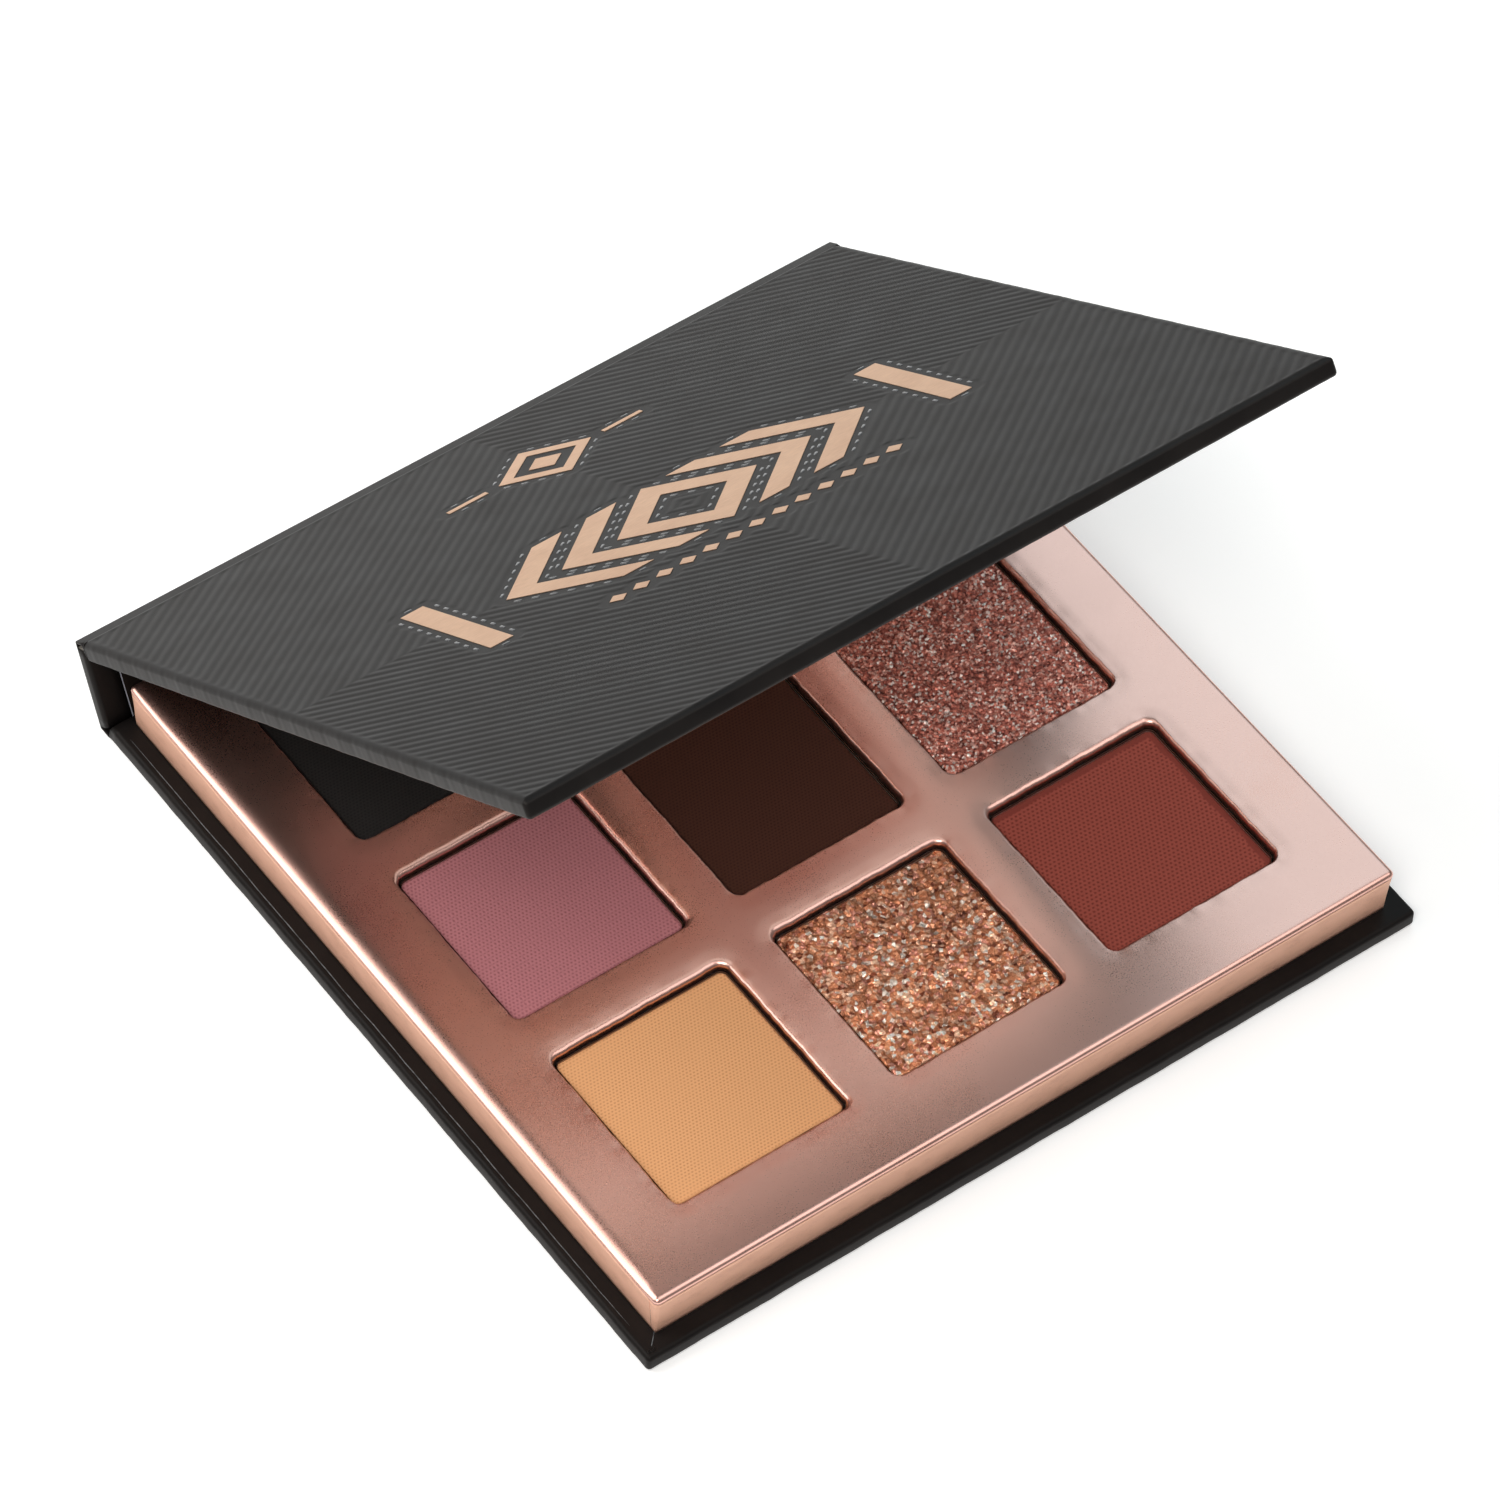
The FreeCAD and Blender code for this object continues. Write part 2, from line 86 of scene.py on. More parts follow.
HALF_WIDTH = CASE_HIGH[0]
CASE_DEPTH = LOWER_CREASE.y - CASE_LOW[1]
CASE_THICK = CASE_HIGH[2]
PAPER = 2 * LOWER_CREASE.z
SPINE_THICK = 1.82
BOARD_SETBACK = 2.04        # board edge of the base and lid to their crease
SPINE_MARGIN = 0.6          # board edge of the spine to either crease
EDGE_RADIUS = 0.55
TURN_IN = 3.4
CORNER = 0.5                # plan radius of the case's free corners
LINING_GAP = 0.45
LINING_HALF = HALF_WIDTH - TURN_IN
CUT_WIDTH = 0.12            # width of the lining's pale cut edge
OUTER = -PAPER / 2          # level of a flat panel's outer face
INNER = OUTER + CASE_THICK  # and of the base's or lid's inner face
SHEET = 0.7 * PAPER         # thickness shown by a cover paper's own sheet
ROLL_OVER = 0.9             # the outer face begins to roll over this far from the edge
EDGE_WOBBLE = 0.035

TRAY_HALF = TRAY_HIGH[0]
TRAY_Y = (TRAY_LOW[1] + TRAY_HIGH[1]) / 2
TRAY_FRONT, TRAY_BACK = TRAY_Y - TRAY_HALF, TRAY_Y + TRAY_HALF
TRAY_TOP = TRAY_HIGH[2]
TRAY_FLOOR = box_mm("tray_floor_board")[0][2]
TRAY_TAPER = 0.5
TRAY_CORNER = 0.7
FOIL = 0.12
PITCH = 29.0
WINDOW_HALF = 11.45
WINDOW_CORNER = 1.2
LIP_DEPTH = 1.4
LIP_REACH = 0.85            # width of the soft lips: back sides, and the left column's right
CRISP_REACH = 0.35          # and of the others, pressed down harder
LIP_DROP = 0.58
RIM_REACH = 1.8             # width of the roll at the tray's left edge
CRISP_RIM = 0.7             # and at its other edges
RIM_DROP = 0.55
SEAM_DROP = 0.74
SEAM_GAP = 0.09
SIDE_SEAM_FROM_CORNER = 1.3

PAN_HALF = PAN_HIGH[0]
PAN_WALL = 0.25
PAN_RIM = PAN_HIGH[2]
PAN_BOTTOM = PAN_LOW[2]
POWDER_HALF = PAN_HALF - 0.13
POWDER_CORNER = 0.75

ROWS = ("front", "middle", "back")
COLUMNS = ("left", "centre", "right")

# Each panel of the case is worked out lying flat: its own crease on the X axis, its free
# edge towards +Y, its outer face towards -Z. These matrices stand the panels up.
BASE_PLACE = Matrix.Translation(LOWER_CREASE) @ Matrix.Rotation(math.pi, 4, "Z")
SPINE_TURN = math.radians(90 - SPINE_LEAN)
SPINE_PLACE = Matrix.Translation(LOWER_CREASE) @ Matrix.Rotation(SPINE_TURN, 4, "X")
LID_TURN = math.radians(180 - LID_LIFT)
LID_PLACE = Matrix.Translation(UPPER_CREASE) @ Matrix.Rotation(LID_TURN, 4, "X")


# ---- mesh tools


def placed(points, place):
    """Points of a flat panel, moved to where the panel stands."""
    m = np.array(place)
    return np.asarray(points, float) @ m[:3, :3].T + m[:3, 3]


def make_mesh(name, points, faces, look, sharp_angle=40.0, merge=0.0):
    """A smooth-shaded object from points in millimetres."""
    mesh = bpy.data.meshes.new(name)
    mesh.from_pydata((np.asarray(points, float) * MM).tolist(), [], faces)
    if merge:
        weld(mesh, merge * MM)
    mesh.validate()
    mesh.shade_smooth()
    mesh.set_sharp_from_angle(angle=math.radians(sharp_angle))
    mesh.materials.append(look)
    thing = bpy.data.objects.new(name, mesh)
    bpy.context.scene.collection.objects.link(thing)
    return thing


def weld(mesh, distance):
    """Join points closer than distance, and make the normals agree."""
    work = bmesh.new()
    work.from_mesh(mesh)
    bmesh.ops.remove_doubles(work, verts=work.verts, dist=distance)
    bmesh.ops.recalc_face_normals(work, faces=work.faces)
    work.to_mesh(mesh)
    work.free()


def thicken(thing, thickness):
    """Give a sheet its paper thickness, growing inwards from the modelled face."""
    solid = thing.modifiers.new("thickness", "SOLIDIFY")
    solid.thickness = thickness * MM
    solid.offset = -1.0
    solid.use_even_offset = False
    return thing


def grid_faces(rows, columns, first=0, closed=False):
    """Quads between neighbouring points of a rows x columns grid."""
    r = np.arange(rows - 1)[:, None]
    c = np.arange(columns if closed else columns - 1)[None, :]
    after = (c + 1) % columns
    corners = [r * columns + c, r * columns + after, (r + 1) * columns + after,
               (r + 1) * columns + c]
    return (np.stack(corners, -1).reshape(-1, 4) + first).tolist()


def tube_faces(rows, columns, first=0):
    """Quads round a closed tube, and a cap at each end."""
    start = [first + i for i in range(columns)]
    end = [(rows - 1) * columns + i for i in start]
    return grid_faces(rows, columns, first, closed=True) + [start[::-1], end]


def quarter_turn(steps, first):
    """Angles through a quarter turn in even steps, from step first on."""
    return [math.radians(90 * part / steps) for part in range(first, steps + 1)]


def roll(level, reach, rise, steps, first=0):
    """(Inset, level) places from a flat face round to its edge, rise away from the face."""
    return [(reach * (1 - math.sin(angle)), level + rise * (1 - math.cos(angle)))
            for angle in quarter_turn(steps, first)]


def at_level(points, z):
    """Plan points given a height, one for all or one each."""
    return np.column_stack([points, np.broadcast_to(z, len(points))])


def smooth_step(low, high, value):
    """0 below low, 1 above high and a smooth curve between."""
    t = np.clip((value - low) / (high - low), 0, 1)
    return t * t * (3 - 2 * t)


def waver(t, seed, longest=9.0):
    """A slow uneven wave between about -1 and 1, for hand-made edges."""
    rng = np.random.default_rng(seed)
    total = np.zeros_like(np.asarray(t, float))
    for octave in range(4):
        wavelength = longest / 1.9 ** octave * rng.uniform(0.8, 1.2)
        phase = rng.uniform(0, 2 * math.pi)
        total = total + np.sin(2 * math.pi * t / wavelength + phase) / 1.4 ** octave
    return total / 2.2


def unevenness(x, y, seed, longest):
    """The same over a surface."""
    rng = np.random.default_rng(seed)
    total = np.zeros(np.broadcast(x, y).shape)
    for octave in range(6):
        wavelength = longest / 1.6 ** octave
        turn = rng.uniform(0, 2 * math.pi)
        phase = rng.uniform(0, 2 * math.pi)
        along = x * math.cos(turn) + y * math.sin(turn)
        total = total + np.sin(2 * math.pi * along / wavelength + phase) / 1.3 ** octave
    return total / 3.0


def stations(low, high, step):
    """Evenly spaced places from low to high, no further apart than step."""
    count = max(2, int(math.ceil((high - low) / step)) + 1)
    return np.linspace(low, high, count)


CORNER_STEPS = 6


def outline(half, y0, y1, offset, corner, xs, ys, closed):
    """Points round a rectangle with round corners, drawn in by offset.

    The y1 side is the free side. An open outline leaves the y0 side out.
    """
    keep = max(corner, offset)
    turn = max(corner - offset, 0.0)
    xs = np.clip(xs, -half + keep, half - keep)
    ys = np.clip(ys, y0 + keep if closed else y0, y1 - keep)
    points = []

    def round_corner(side_x, y_middle, start_angle):
        for step in range(CORNER_STEPS + 1):
            angle = math.radians(start_angle - 90 * step / CORNER_STEPS)
            points.append((
                side_x * (half - keep) + turn * math.cos(angle),
                y_middle + turn * math.sin(angle)))

    points += [(-half + offset, y) for y in ys]
    round_corner(-1, y1 - keep, 180)
    points += [(x, y1 - offset) for x in xs]
    round_corner(1, y1 - keep, 90)
    points += [(half - offset, y) for y in ys[::-1]]
    if closed:
        round_corner(1, y0 + keep, 0)
        points += [(x, y0 + offset) for x in xs[::-1]]
        round_corner(-1, y0 + keep, -90)
    return np.array(points)


# ---- materials


class Look:
    """A node material being put together."""

    def __init__(self, name, **sockets):
        self.material = bpy.data.materials.new(name)
        self.material.use_nodes = True
        self.tree = self.material.node_tree
        self.shader = self.tree.nodes["Principled BSDF"]
        for key, value in sockets.items():
            self.feed(self.shader.inputs[key.replace("_", " ")], value)

    def feed(self, socket, value):
        if isinstance(value, bpy.types.NodeSocket):
            self.tree.links.new(value, socket)
        else:
            socket.default_value = value

    def add(self, kind, output, inputs, **settings):
        node = self.tree.nodes.new("ShaderNode" + kind)
        for key, value in settings.items():
            setattr(node, key, value)
        for key, value in inputs.items():
            self.feed(node.inputs[key], value)
        return node.outputs[output]

    def place(self, stretch=(1, 1, 1), turn=0.0):
        """Position on the piece in millimetres, turned flat for a leaning panel."""
        here = self.add("TexCoord", "Object", {})
        flat = self.add("Mapping", "Vector", {
            "Vector": here,
            "Rotation": (-turn, 0, 0),
            "Scale": (1 / MM, 1 / MM, 1 / MM)})
        return self.add("Mapping", "Vector", {"Vector": flat, "Scale": stretch})

    def noise(self, size, place, detail=3.0, roughness=0.55, distortion=0.0):
        """Cloudy noise whose lumps are about size millimetres across."""
        return self.add("TexNoise", "Fac", {
            "Vector": place, "Scale": 1 / size, "Detail": detail,
            "Roughness": roughness, "Distortion": distortion})

    def ramp(self, value, low, high, at=(0.3, 0.7)):
        """Blend from one colour or number to another as value rises."""
        node = self.tree.nodes.new("ShaderNodeValToRGB")
        for element, colour, position in zip(node.color_ramp.elements, (low, high), at):
            element.position = position
            element.color = rgba(colour)
        self.feed(node.inputs["Fac"], value)
        return node.outputs["Color"]

    def spread(self, value, low, high, at=(0.3, 0.7)):
        """A number that runs from low to high as value rises through at."""
        return self.add("MapRange", "Result", {
            "Value": value, "From Min": at[0], "From Max": at[1],
            "To Min": low, "To Max": high})

    def sum(self, a, b, share=1.0):
        scaled = self.add("Math", "Value", {0: b, 1: share}, operation="MULTIPLY")
        return self.add("Math", "Value", {0: a, 1: scaled}, operation="ADD")

    def mix(self, fac, a, b):
        node = self.tree.nodes.new("ShaderNodeMix")
        node.data_type = "RGBA"
        self.feed(node.inputs[0], fac)
        self.feed(node.inputs[6], rgba(a))
        self.feed(node.inputs[7], rgba(b))
        return node.outputs[2]

    def bump(self, height, depth):
        """Relief whose full height is depth millimetres."""
        normal = self.add("Bump", "Normal", {"Height": height, "Distance": depth * MM})
        self.feed(self.shader.inputs["Normal"], normal)

    def colour(self, value):
        self.feed(self.shader.inputs["Base Color"], rgba(value))

    def rough(self, value):
        self.feed(self.shader.inputs["Roughness"], value)


def rgba(colour):
    """A colour given as 0-255 display values, a grey level, or a socket."""
    if isinstance(colour, bpy.types.NodeSocket):
        return colour
    if isinstance(colour, (int, float)):
        return (colour, colour, colour, 1.0)
    if len(colour) == 4:
        return colour
    linear = []
    for value in colour:
        share = value / 255
        low = share <= 0.04045
        linear.append(share / 12.92 if low else ((share + 0.055) / 1.055) ** 2.4)
    return (*linear, 1.0)


def black_paper(name, turn, shine):
    """Soft-touch laminated black paper: faint mottling and fine tooth."""
    look = Look(name, Specular_IOR_Level=shine, Specular_Tint=(1.0, 0.94, 0.9, 1.0))
    place = look.place(turn=turn)
    cloud = look.noise(6.0, place)
    tooth = look.noise(0.12, place, detail=2.0)
    look.colour(look.ramp(cloud, (18, 16, 16), (25, 22, 21)))
    look.rough(look.spread(look.sum(cloud, tooth, 0.4), 0.41, 0.48, (0.4, 1.0)))
    look.bump(tooth, 0.006)
    return look.material


def lining_paper(name, turn):
    """Uncoated dark lining, pale where its cut edge shows."""
    look = Look(name, Specular_IOR_Level=0.12)
    place = look.place(turn=turn)
    fibre = look.noise(0.35, look.place((1, 0.35, 1), turn), detail=4.0)
    cloud = look.noise(5.0, place)
    paper = look.ramp(look.sum(fibre, cloud, 0.5), (20, 15, 13), (32, 25, 21), (0.4, 1.1))
    split = look.add("SeparateXYZ", "X", {"Vector": look.place()})
    across = look.add("Math", "Value", {0: split}, operation="ABSOLUTE")
    cut_line = LINING_HALF - CUT_WIDTH
    edge = look.add("Math", "Value", {0: across, 1: cut_line}, operation="GREATER_THAN")
    look.colour(look.mix(edge, paper, (176, 180, 192)))
    look.rough(look.spread(fibre, 0.62, 0.8))
    look.bump(fibre, 0.015)
    return look.material


def grey_board(name="grey_board"):
    """Recycled grey board with dark flecks."""
    look = Look(name, Specular_IOR_Level=0.25)
    fibre = look.noise(0.6, look.place((1, 1, 4)), detail=6.0, distortion=1.5)
    fleck = look.noise(0.25, look.place(), detail=1.0)
    base = look.ramp(fibre, (120, 114, 106), (158, 152, 143))
    look.colour(look.mix(look.spread(fleck, 0, 1, (0.66, 0.72)), base, (84, 78, 74)))
    look.rough(look.spread(fibre, 0.8, 0.95))
    look.bump(fibre, 0.05)
    return look.material


def ornament_foil():
    """Hot-stamped satin copper foil with a fine level grain."""
    look = Look("ornament_foil", Metallic=1.0)
    grain = look.noise(0.16, look.place((0.12, 1, 1), LID_TURN), detail=3.0)
    cloud = look.noise(4.0, look.place(turn=LID_TURN))
    mottle = look.sum(grain, cloud, 0.6)
    look.colour(look.ramp(mottle, (214, 170, 138), (236, 196, 163), (0.5, 1.1)))
    look.rough(look.spread(grain, 0.34, 0.46))
    look.bump(grain, 0.004)
    return look.material


def simple_look(
        name, place, noise, colours, rough, relief=0.0, at=(0.3, 0.7), **sockets):
    """A material whose colour, roughness and relief follow one noise."""
    look = Look(name, **sockets)
    grain = look.noise(noise[0], look.place(*place), *noise[1:])
    look.colour(look.ramp(grain, *colours, at))
    look.rough(look.spread(grain, *rough))
    if relief:
        look.bump(grain, relief)
    return look.material


PLAIN = ((1, 1, 1), 0.0)
ON_LID = ((1, 1, 1), LID_TURN)


def cut_edge_and_highlight():
    """The paler cut edge of dark paper; on the margin ridges it is a painted highlight."""
    return simple_look(
        "cut_edge_and_highlight", PLAIN, (0.8, 4.0), ((58, 60, 62), (112, 118, 122)), (0.5, 0.7),
        at=(0.35, 0.65), Specular_IOR_Level=0.3)


def clear_varnish_painted_sheen():
    """Glossy clear varnish over the black paper; its grey colour, lighter than the paper beneath,
    is painted sheen.
    """
    return simple_look(
        "clear_varnish_painted_sheen", ON_LID, (0.8, 2.0), ((58, 58, 60), (72, 72, 74)), (0.06, 0.14),
        Specular_IOR_Level=1.0)


def magnet_steel():
    """Bare bright steel."""
    return simple_look(
        "magnet_steel", PLAIN, (0.4, 4.0), ((150, 150, 152), (186, 186, 188)),
        (0.2, 0.38), 0.01, Metallic=1.0)


def mirror_glass():
    """Silvered glass with faint smears."""
    return simple_look(
        "mirror_glass", ((1, 0.3, 1), LID_TURN), (9.0, 2.0),
        ((226, 232, 230), (236, 240, 239)), (0.015, 0.05), Metallic=1.0)


def tape():
    """Pale double-sided tape, and the glue under the pans."""
    return simple_look(
        "tape", ON_LID, (0.5, 5.0, 0.55, 2.0), ((205, 202, 194), (228, 226, 220)),
        (0.45, 0.65), 0.02, Specular_IOR_Level=0.5)


def tray_foil():
    """Satin rose-gold foil on paper: fine grain over faint board texture."""
    look = Look("tray_foil", Metallic=1.0)
    place = look.place()
    grain = look.noise(0.16, place, detail=3.0)
    board = look.noise(1.6, place, detail=2.0)
    cloud = look.noise(14.0, place)
    look.colour(look.ramp(look.sum(grain, cloud), (224, 171, 155), (236, 187, 173), (0.7, 1.3)))
    look.rough(look.spread(look.sum(grain, cloud, 0.5), 0.25, 0.35, (0.5, 1.0)))
    look.bump(look.sum(grain, board, 0.8), 0.0012)
    return look.material


def side_foil():
    """The same foil on the tray's sides, less shiny over coarser paper."""
    look = Look("tray_foil_sides", Metallic=0.35, Specular_IOR_Level=0.5)
    place = look.place((1, 1, 2))
    grain = look.noise(0.2, place, detail=3.0)
    board = look.noise(2.2, place, detail=3.0)
    look.colour(look.ramp(look.sum(grain, board), (218, 166, 140), (232, 181, 155), (0.7, 1.3)))
    look.rough(look.spread(look.sum(grain, board, 0.5), 0.4, 0.52, (0.5, 1.0)))
    look.bump(look.sum(grain, board, 0.8), 0.012)
    return look.material


def pan_aluminium():
    """Pressed aluminium, the top of its rim painted dark brown as shade in the gap round the
    powder.
    """
    look = Look("pan_aluminium", Metallic=1.0)
    place = look.place()
    grain = look.noise(0.3, look.place((0.2, 1, 1)), detail=3.0)
    cloud = look.noise(3.0, place)
    height = look.add("SeparateXYZ", "Z", {"Vector": place})
    # Painted shade: the top of the rim blends to dark brown.
    dust = look.spread(height, 0, 1, (PAN_RIM - 0.3, PAN_RIM - 0.1))
    metal = look.ramp(cloud, (214, 206, 198), (236, 230, 224))
    look.colour(look.mix(dust, metal, (78, 56, 46)))
    look.rough(look.spread(grain, 0.4, 0.55))
    look.bump(grain, 0.01)
    return look.material


def matte_powder(name, dark, light):
    """Pressed matte powder: fine grain, and painted shade in the hollows of the press marks."""
    look = Look(name, Specular_IOR_Level=0.2)
    place = look.place()
    dust = look.noise(0.07, place, detail=2.0)
    # The tint layer holds the relief's height, so the hollows get painted shade.
    hollow = look.add("Attribute", "Fac", {}, attribute_name="tint")
    look.colour(look.ramp(look.sum(hollow, dust, 0.5), dark, light, (0.1, 1.2)))
    look.rough(look.spread(dust, 0.82, 0.96))
    look.bump(dust, 0.012)
    return look.material


def glitter_powder(name, metal, low_rough, high_rough):
    """Pressed flakes: each flake's colour, with its painted shade, is stored on the mesh."""
    look = Look(name, Metallic=metal)
    tint = look.add("Attribute", "Color", {}, attribute_name="tint")
    dust = look.noise(0.08, look.place(), detail=1.0)
    look.colour(tint)
    look.rough(look.spread(dust, low_rough, high_rough))
    look.bump(dust, 0.01)
    return look.material


# ---- case panels


def case_outline(offset, xs, ys):
    """The free edges of the base or lid, drawn in by offset."""
    return outline(HALF_WIDTH, BOARD_SETBACK, CASE_DEPTH, offset, CORNER, xs, ys, False)


def wrapped_panel(name, place, step, look, seed, relief=None):
    """Cover paper of the base or lid: outer face, rounded wrapped edges, turned-in margins."""
    xs = stations(-HALF_WIDTH + ROLL_OVER, HALF_WIDTH - ROLL_OVER, step)
    ys = stations(BOARD_SETBACK, CASE_DEPTH - ROLL_OVER, step)
    profile = roll(OUTER, ROLL_OVER, EDGE_RADIUS, 8) + [(0.0, (OUTER + INNER) / 2)]
    profile += roll(INNER, EDGE_RADIUS, -EDGE_RADIUS, 6)[::-1]
    profile += [(offset, INNER) for offset in (0.8, 1.2, 1.8, 2.5, TURN_IN)]

    middle = np.array([0, (BOARD_SETBACK + CASE_DEPTH) / 2])
    rings = []
    for offset, z in profile:
        ring = case_outline(offset, xs, ys)
        wobble = np.maximum(EDGE_WOBBLE * (1 + waver(ring.sum(axis=1), seed)), 0)
        sink = wobble * (1 - smooth_step(0.6, 1.4, offset))
        drawn = ring - np.sign(ring - middle) * sink[:, None] * (np.abs(ring) > 1e-9)
        drawn[:, 1] = np.maximum(drawn[:, 1], BOARD_SETBACK)
        rings.append(at_level(drawn, z))
    # The roll-over starts exactly on the outer face's border.
    rings[0] = at_level(case_outline(ROLL_OVER, xs, ys), OUTER)
    band = np.concatenate(rings)
    faces = grid_faces(len(rings), len(rings[0]))

    x, y = np.meshgrid(xs, ys)
    z = np.full(x.shape, OUTER)
    if relief is not None:
        z = z - relief(x, y)
    flat_face = np.column_stack([x.ravel(), y.ravel(), z.ravel()])
    faces += grid_faces(len(ys), len(xs), len(band))
    points = placed(np.concatenate([band, flat_face]), place)
    thing = make_mesh(name, points, faces, look, merge=0.002)
    face_outwards(thing, place)
    return thicken(thing, SHEET)


def face_outwards(thing, place):
    """Turn the whole sheet over if its outer face's normals point inwards."""
    outward = (place.to_3x3() @ Vector((0, 0, -1))).normalized()

    def how_far_out(polygon):
        return polygon.center.dot(outward) + 1e-4 * abs(polygon.normal.dot(outward))

    if max(thing.data.polygons, key=how_far_out).normal.dot(outward) < 0:
        thing.data.flip_normals()


def ornament_lines():
    """Edges of the stamped shapes in the lid's own plane, as an array of (x0, y0, x1, y1)."""
    mesh = frame["nodes"]["lid_foil_ornament"].data
    flat = placed(np.array([v.co for v in mesh.vertices]) / MM, LID_PLACE.inverted())
    face_z = flat[:, 2].min()
    uses = {}
    for polygon in mesh.polygons:
        if all(abs(flat[v][2] - face_z) < 1e-3 for v in polygon.vertices):
            for edge in polygon.edge_keys:
                key = tuple(sorted(tuple(np.round(flat[v][:2], 3)) for v in edge))
                uses[key] = uses.get(key, 0) + 1
    return np.array([(*a, *b) for (a, b), count in uses.items() if count == 1])


def from_ornament(x, y):
    """For each point: its distance to the stamped shapes' edges, and whether it is in one."""
    nearest = np.full(x.shape, 1e9)
    inside = np.zeros(x.shape, bool)
    for x0, y0, x1, y1 in ornament_lines():
        dx, dy = x1 - x0, y1 - y0
        t = np.clip(((x - x0) * dx + (y - y0) * dy) / (dx * dx + dy * dy), 0, 1)
        nearest = np.minimum(nearest, np.hypot(x - x0 - t * dx, y - y0 - t * dy))
        if abs(dy) > 1e-9:
            crosses = (y0 > y) != (y1 > y)
            inside ^= crosses & (x < x0 + (y - y0) / dy * dx)
    return nearest, inside


RIDGE_PITCH = 1.47          # across the ridges
RIDGE_DEPTH = 0.056
PLATEAU = 1.2               # flat paper round the stamped shapes
PLATEAU_DEPTH = 0.055
RIDGE_STOP = (0.9, 1.35)    # the ridges fade out this far from the lid's edges


def lid_relief(x, y):
    """Nested lozenges of embossed ridges, pressed flat round the ornament and at the edges."""
    across = (np.abs(x) + np.abs(CASE_DEPTH / 2 - y)) / math.sqrt(2)
    wave = 0.5 + 0.5 * np.cos(2 * math.pi * across / RIDGE_PITCH)
    height = -RIDGE_DEPTH * (1 - wave ** 0.75)
    to_crease = y - BOARD_SETBACK
    rim = np.minimum(np.minimum(HALF_WIDTH - np.abs(x), CASE_DEPTH - y), to_crease + 0.5)
    height = height * smooth_step(*RIDGE_STOP, rim)
    nearest, inside = from_ornament(x, y)
    flat = 1 - smooth_step(PLATEAU, PLATEAU + 0.3, np.where(inside, 0.0, nearest))
    return height * (1 - flat) - PLATEAU_DEPTH * flat


DASH_LENGTH = 1.0
DASH_WIDTH = 0.42
DASH_PITCH = 2.1
DASH_AWAY = 0.85            # from the stamped shape to the dash's middle line
DASH_HEIGHT = 0.05
DASH_CLEAR = 0.97 * DASH_AWAY


def dash_places():
    """Middle and direction of each varnish dash round the stamped shapes."""
    places = []
    for x0, y0, x1, y1 in ornament_lines():
        length = math.hypot(x1 - x0, y1 - y0)
        along = np.array([x1 - x0, y1 - y0]) / length
        across = np.array([-along[1], along[0]])
        count = int(length / DASH_PITCH)
        for index in range(count):
            run = length / 2 + (index - (count - 1) / 2) * DASH_PITCH
            for side in (-1, 1):
                middle = np.array([x0, y0]) + along * run + across * side * DASH_AWAY
                places.append((middle, along))
    middles = np.array([middle for middle, _ in places])
    nearest, inside = from_ornament(middles[:, 0], middles[:, 1])
    clear = ~inside & (nearest >= DASH_CLEAR)
    return [place for place, is_clear in zip(places, clear) if is_clear]


def varnish_dashes(look):
    """Raised beads of clear varnish that outline the stamped shapes."""
    sides = 16
    half_run = (DASH_LENGTH - DASH_WIDTH) / 2
    floor_z = OUTER + PLATEAU_DEPTH
    points, faces = [], []
    for middle, along in dash_places():
        across = np.array([-along[1], along[0]])
        faces += tube_faces(3, sides, len(points))
        for share, lift in ((1.0, -0.02), (0.9, 0.55 * DASH_HEIGHT), (0.5, DASH_HEIGHT)):
            for part in range(sides):
                angle = 2 * math.pi * (part + 0.5) / sides
                reach = half_run if math.cos(angle) > 0 else -half_run
                offset = along * (reach + share * DASH_WIDTH / 2 * math.cos(angle))
                offset = offset + across * share * DASH_WIDTH / 2 * math.sin(angle)
                points.append((*(middle + offset), floor_z - lift))
    points = placed(points, LID_PLACE)
    return make_mesh("lid_varnish_dashes", points, faces, look, 60.0, merge=0.0001)


BEAD_SIDES = 7


def bead(path, width, height, z):
    """Points of a low half-round ridge along a path on a flat panel's inner face."""
    path = np.asarray(path, float)
    ahead = np.gradient(path, axis=0)
    ahead /= np.linalg.norm(ahead, axis=1)[:, None]
    across = np.column_stack([-ahead[:, 1], ahead[:, 0]])
    run = np.linspace(0, 1, len(path))
    taper = np.sqrt(np.clip(1 - (2 * run - 1) ** 6, 0.02, 1))
    sunk = 0.03
    rings = []
    for part in range(BEAD_SIDES):
        angle = math.radians(180 * part / (BEAD_SIDES - 1))
        side = path + across * (width / 2 * math.cos(angle) * taper)[:, None]
        level = z - sunk + (height + sunk) * math.sin(angle) * taper
        rings.append(at_level(side, level))
    return np.stack(rings, axis=1).reshape(-1, 3)


def beads(name, place, ridges, look):
    """One object holding several beads; each ridge is (path, width, height)."""
    points, faces, count = [], [], 0
    for path, width, height in ridges:
        points.append(bead(path, width, height, INNER))
        faces += tube_faces(len(path), BEAD_SIDES, count)
        count += len(points[-1])
    thing = make_mesh(name, placed(np.concatenate(points), place), faces, look, 60.0)
    weld(thing.data, 1e-7)
    return thing


MITRE_START = 1.3           # where a mitre starts, in from the corner along each axis
MITRE_RUN = 1.9             # and how far it runs on
MITRE_SIZE = (0.12, 0.04)   # width and height
MARGIN_RIDGE_INSET = 0.95
MARGIN_RIDGE_SIZE = (0.13, 0.035)
# Each loop of bunched paper: distance in, radius, start angle, width and height.
BUNCH_LOOPS = ((1.15, 0.34, 20, 0.3, 0.12), (0.85, 0.22, 200, 0.24, 0.1))


def free_corner(side):
    """A free corner of the base or lid, and the direction inwards from it."""
    return np.array([side * HALF_WIDTH, CASE_DEPTH]), np.array([-side, -1.0])


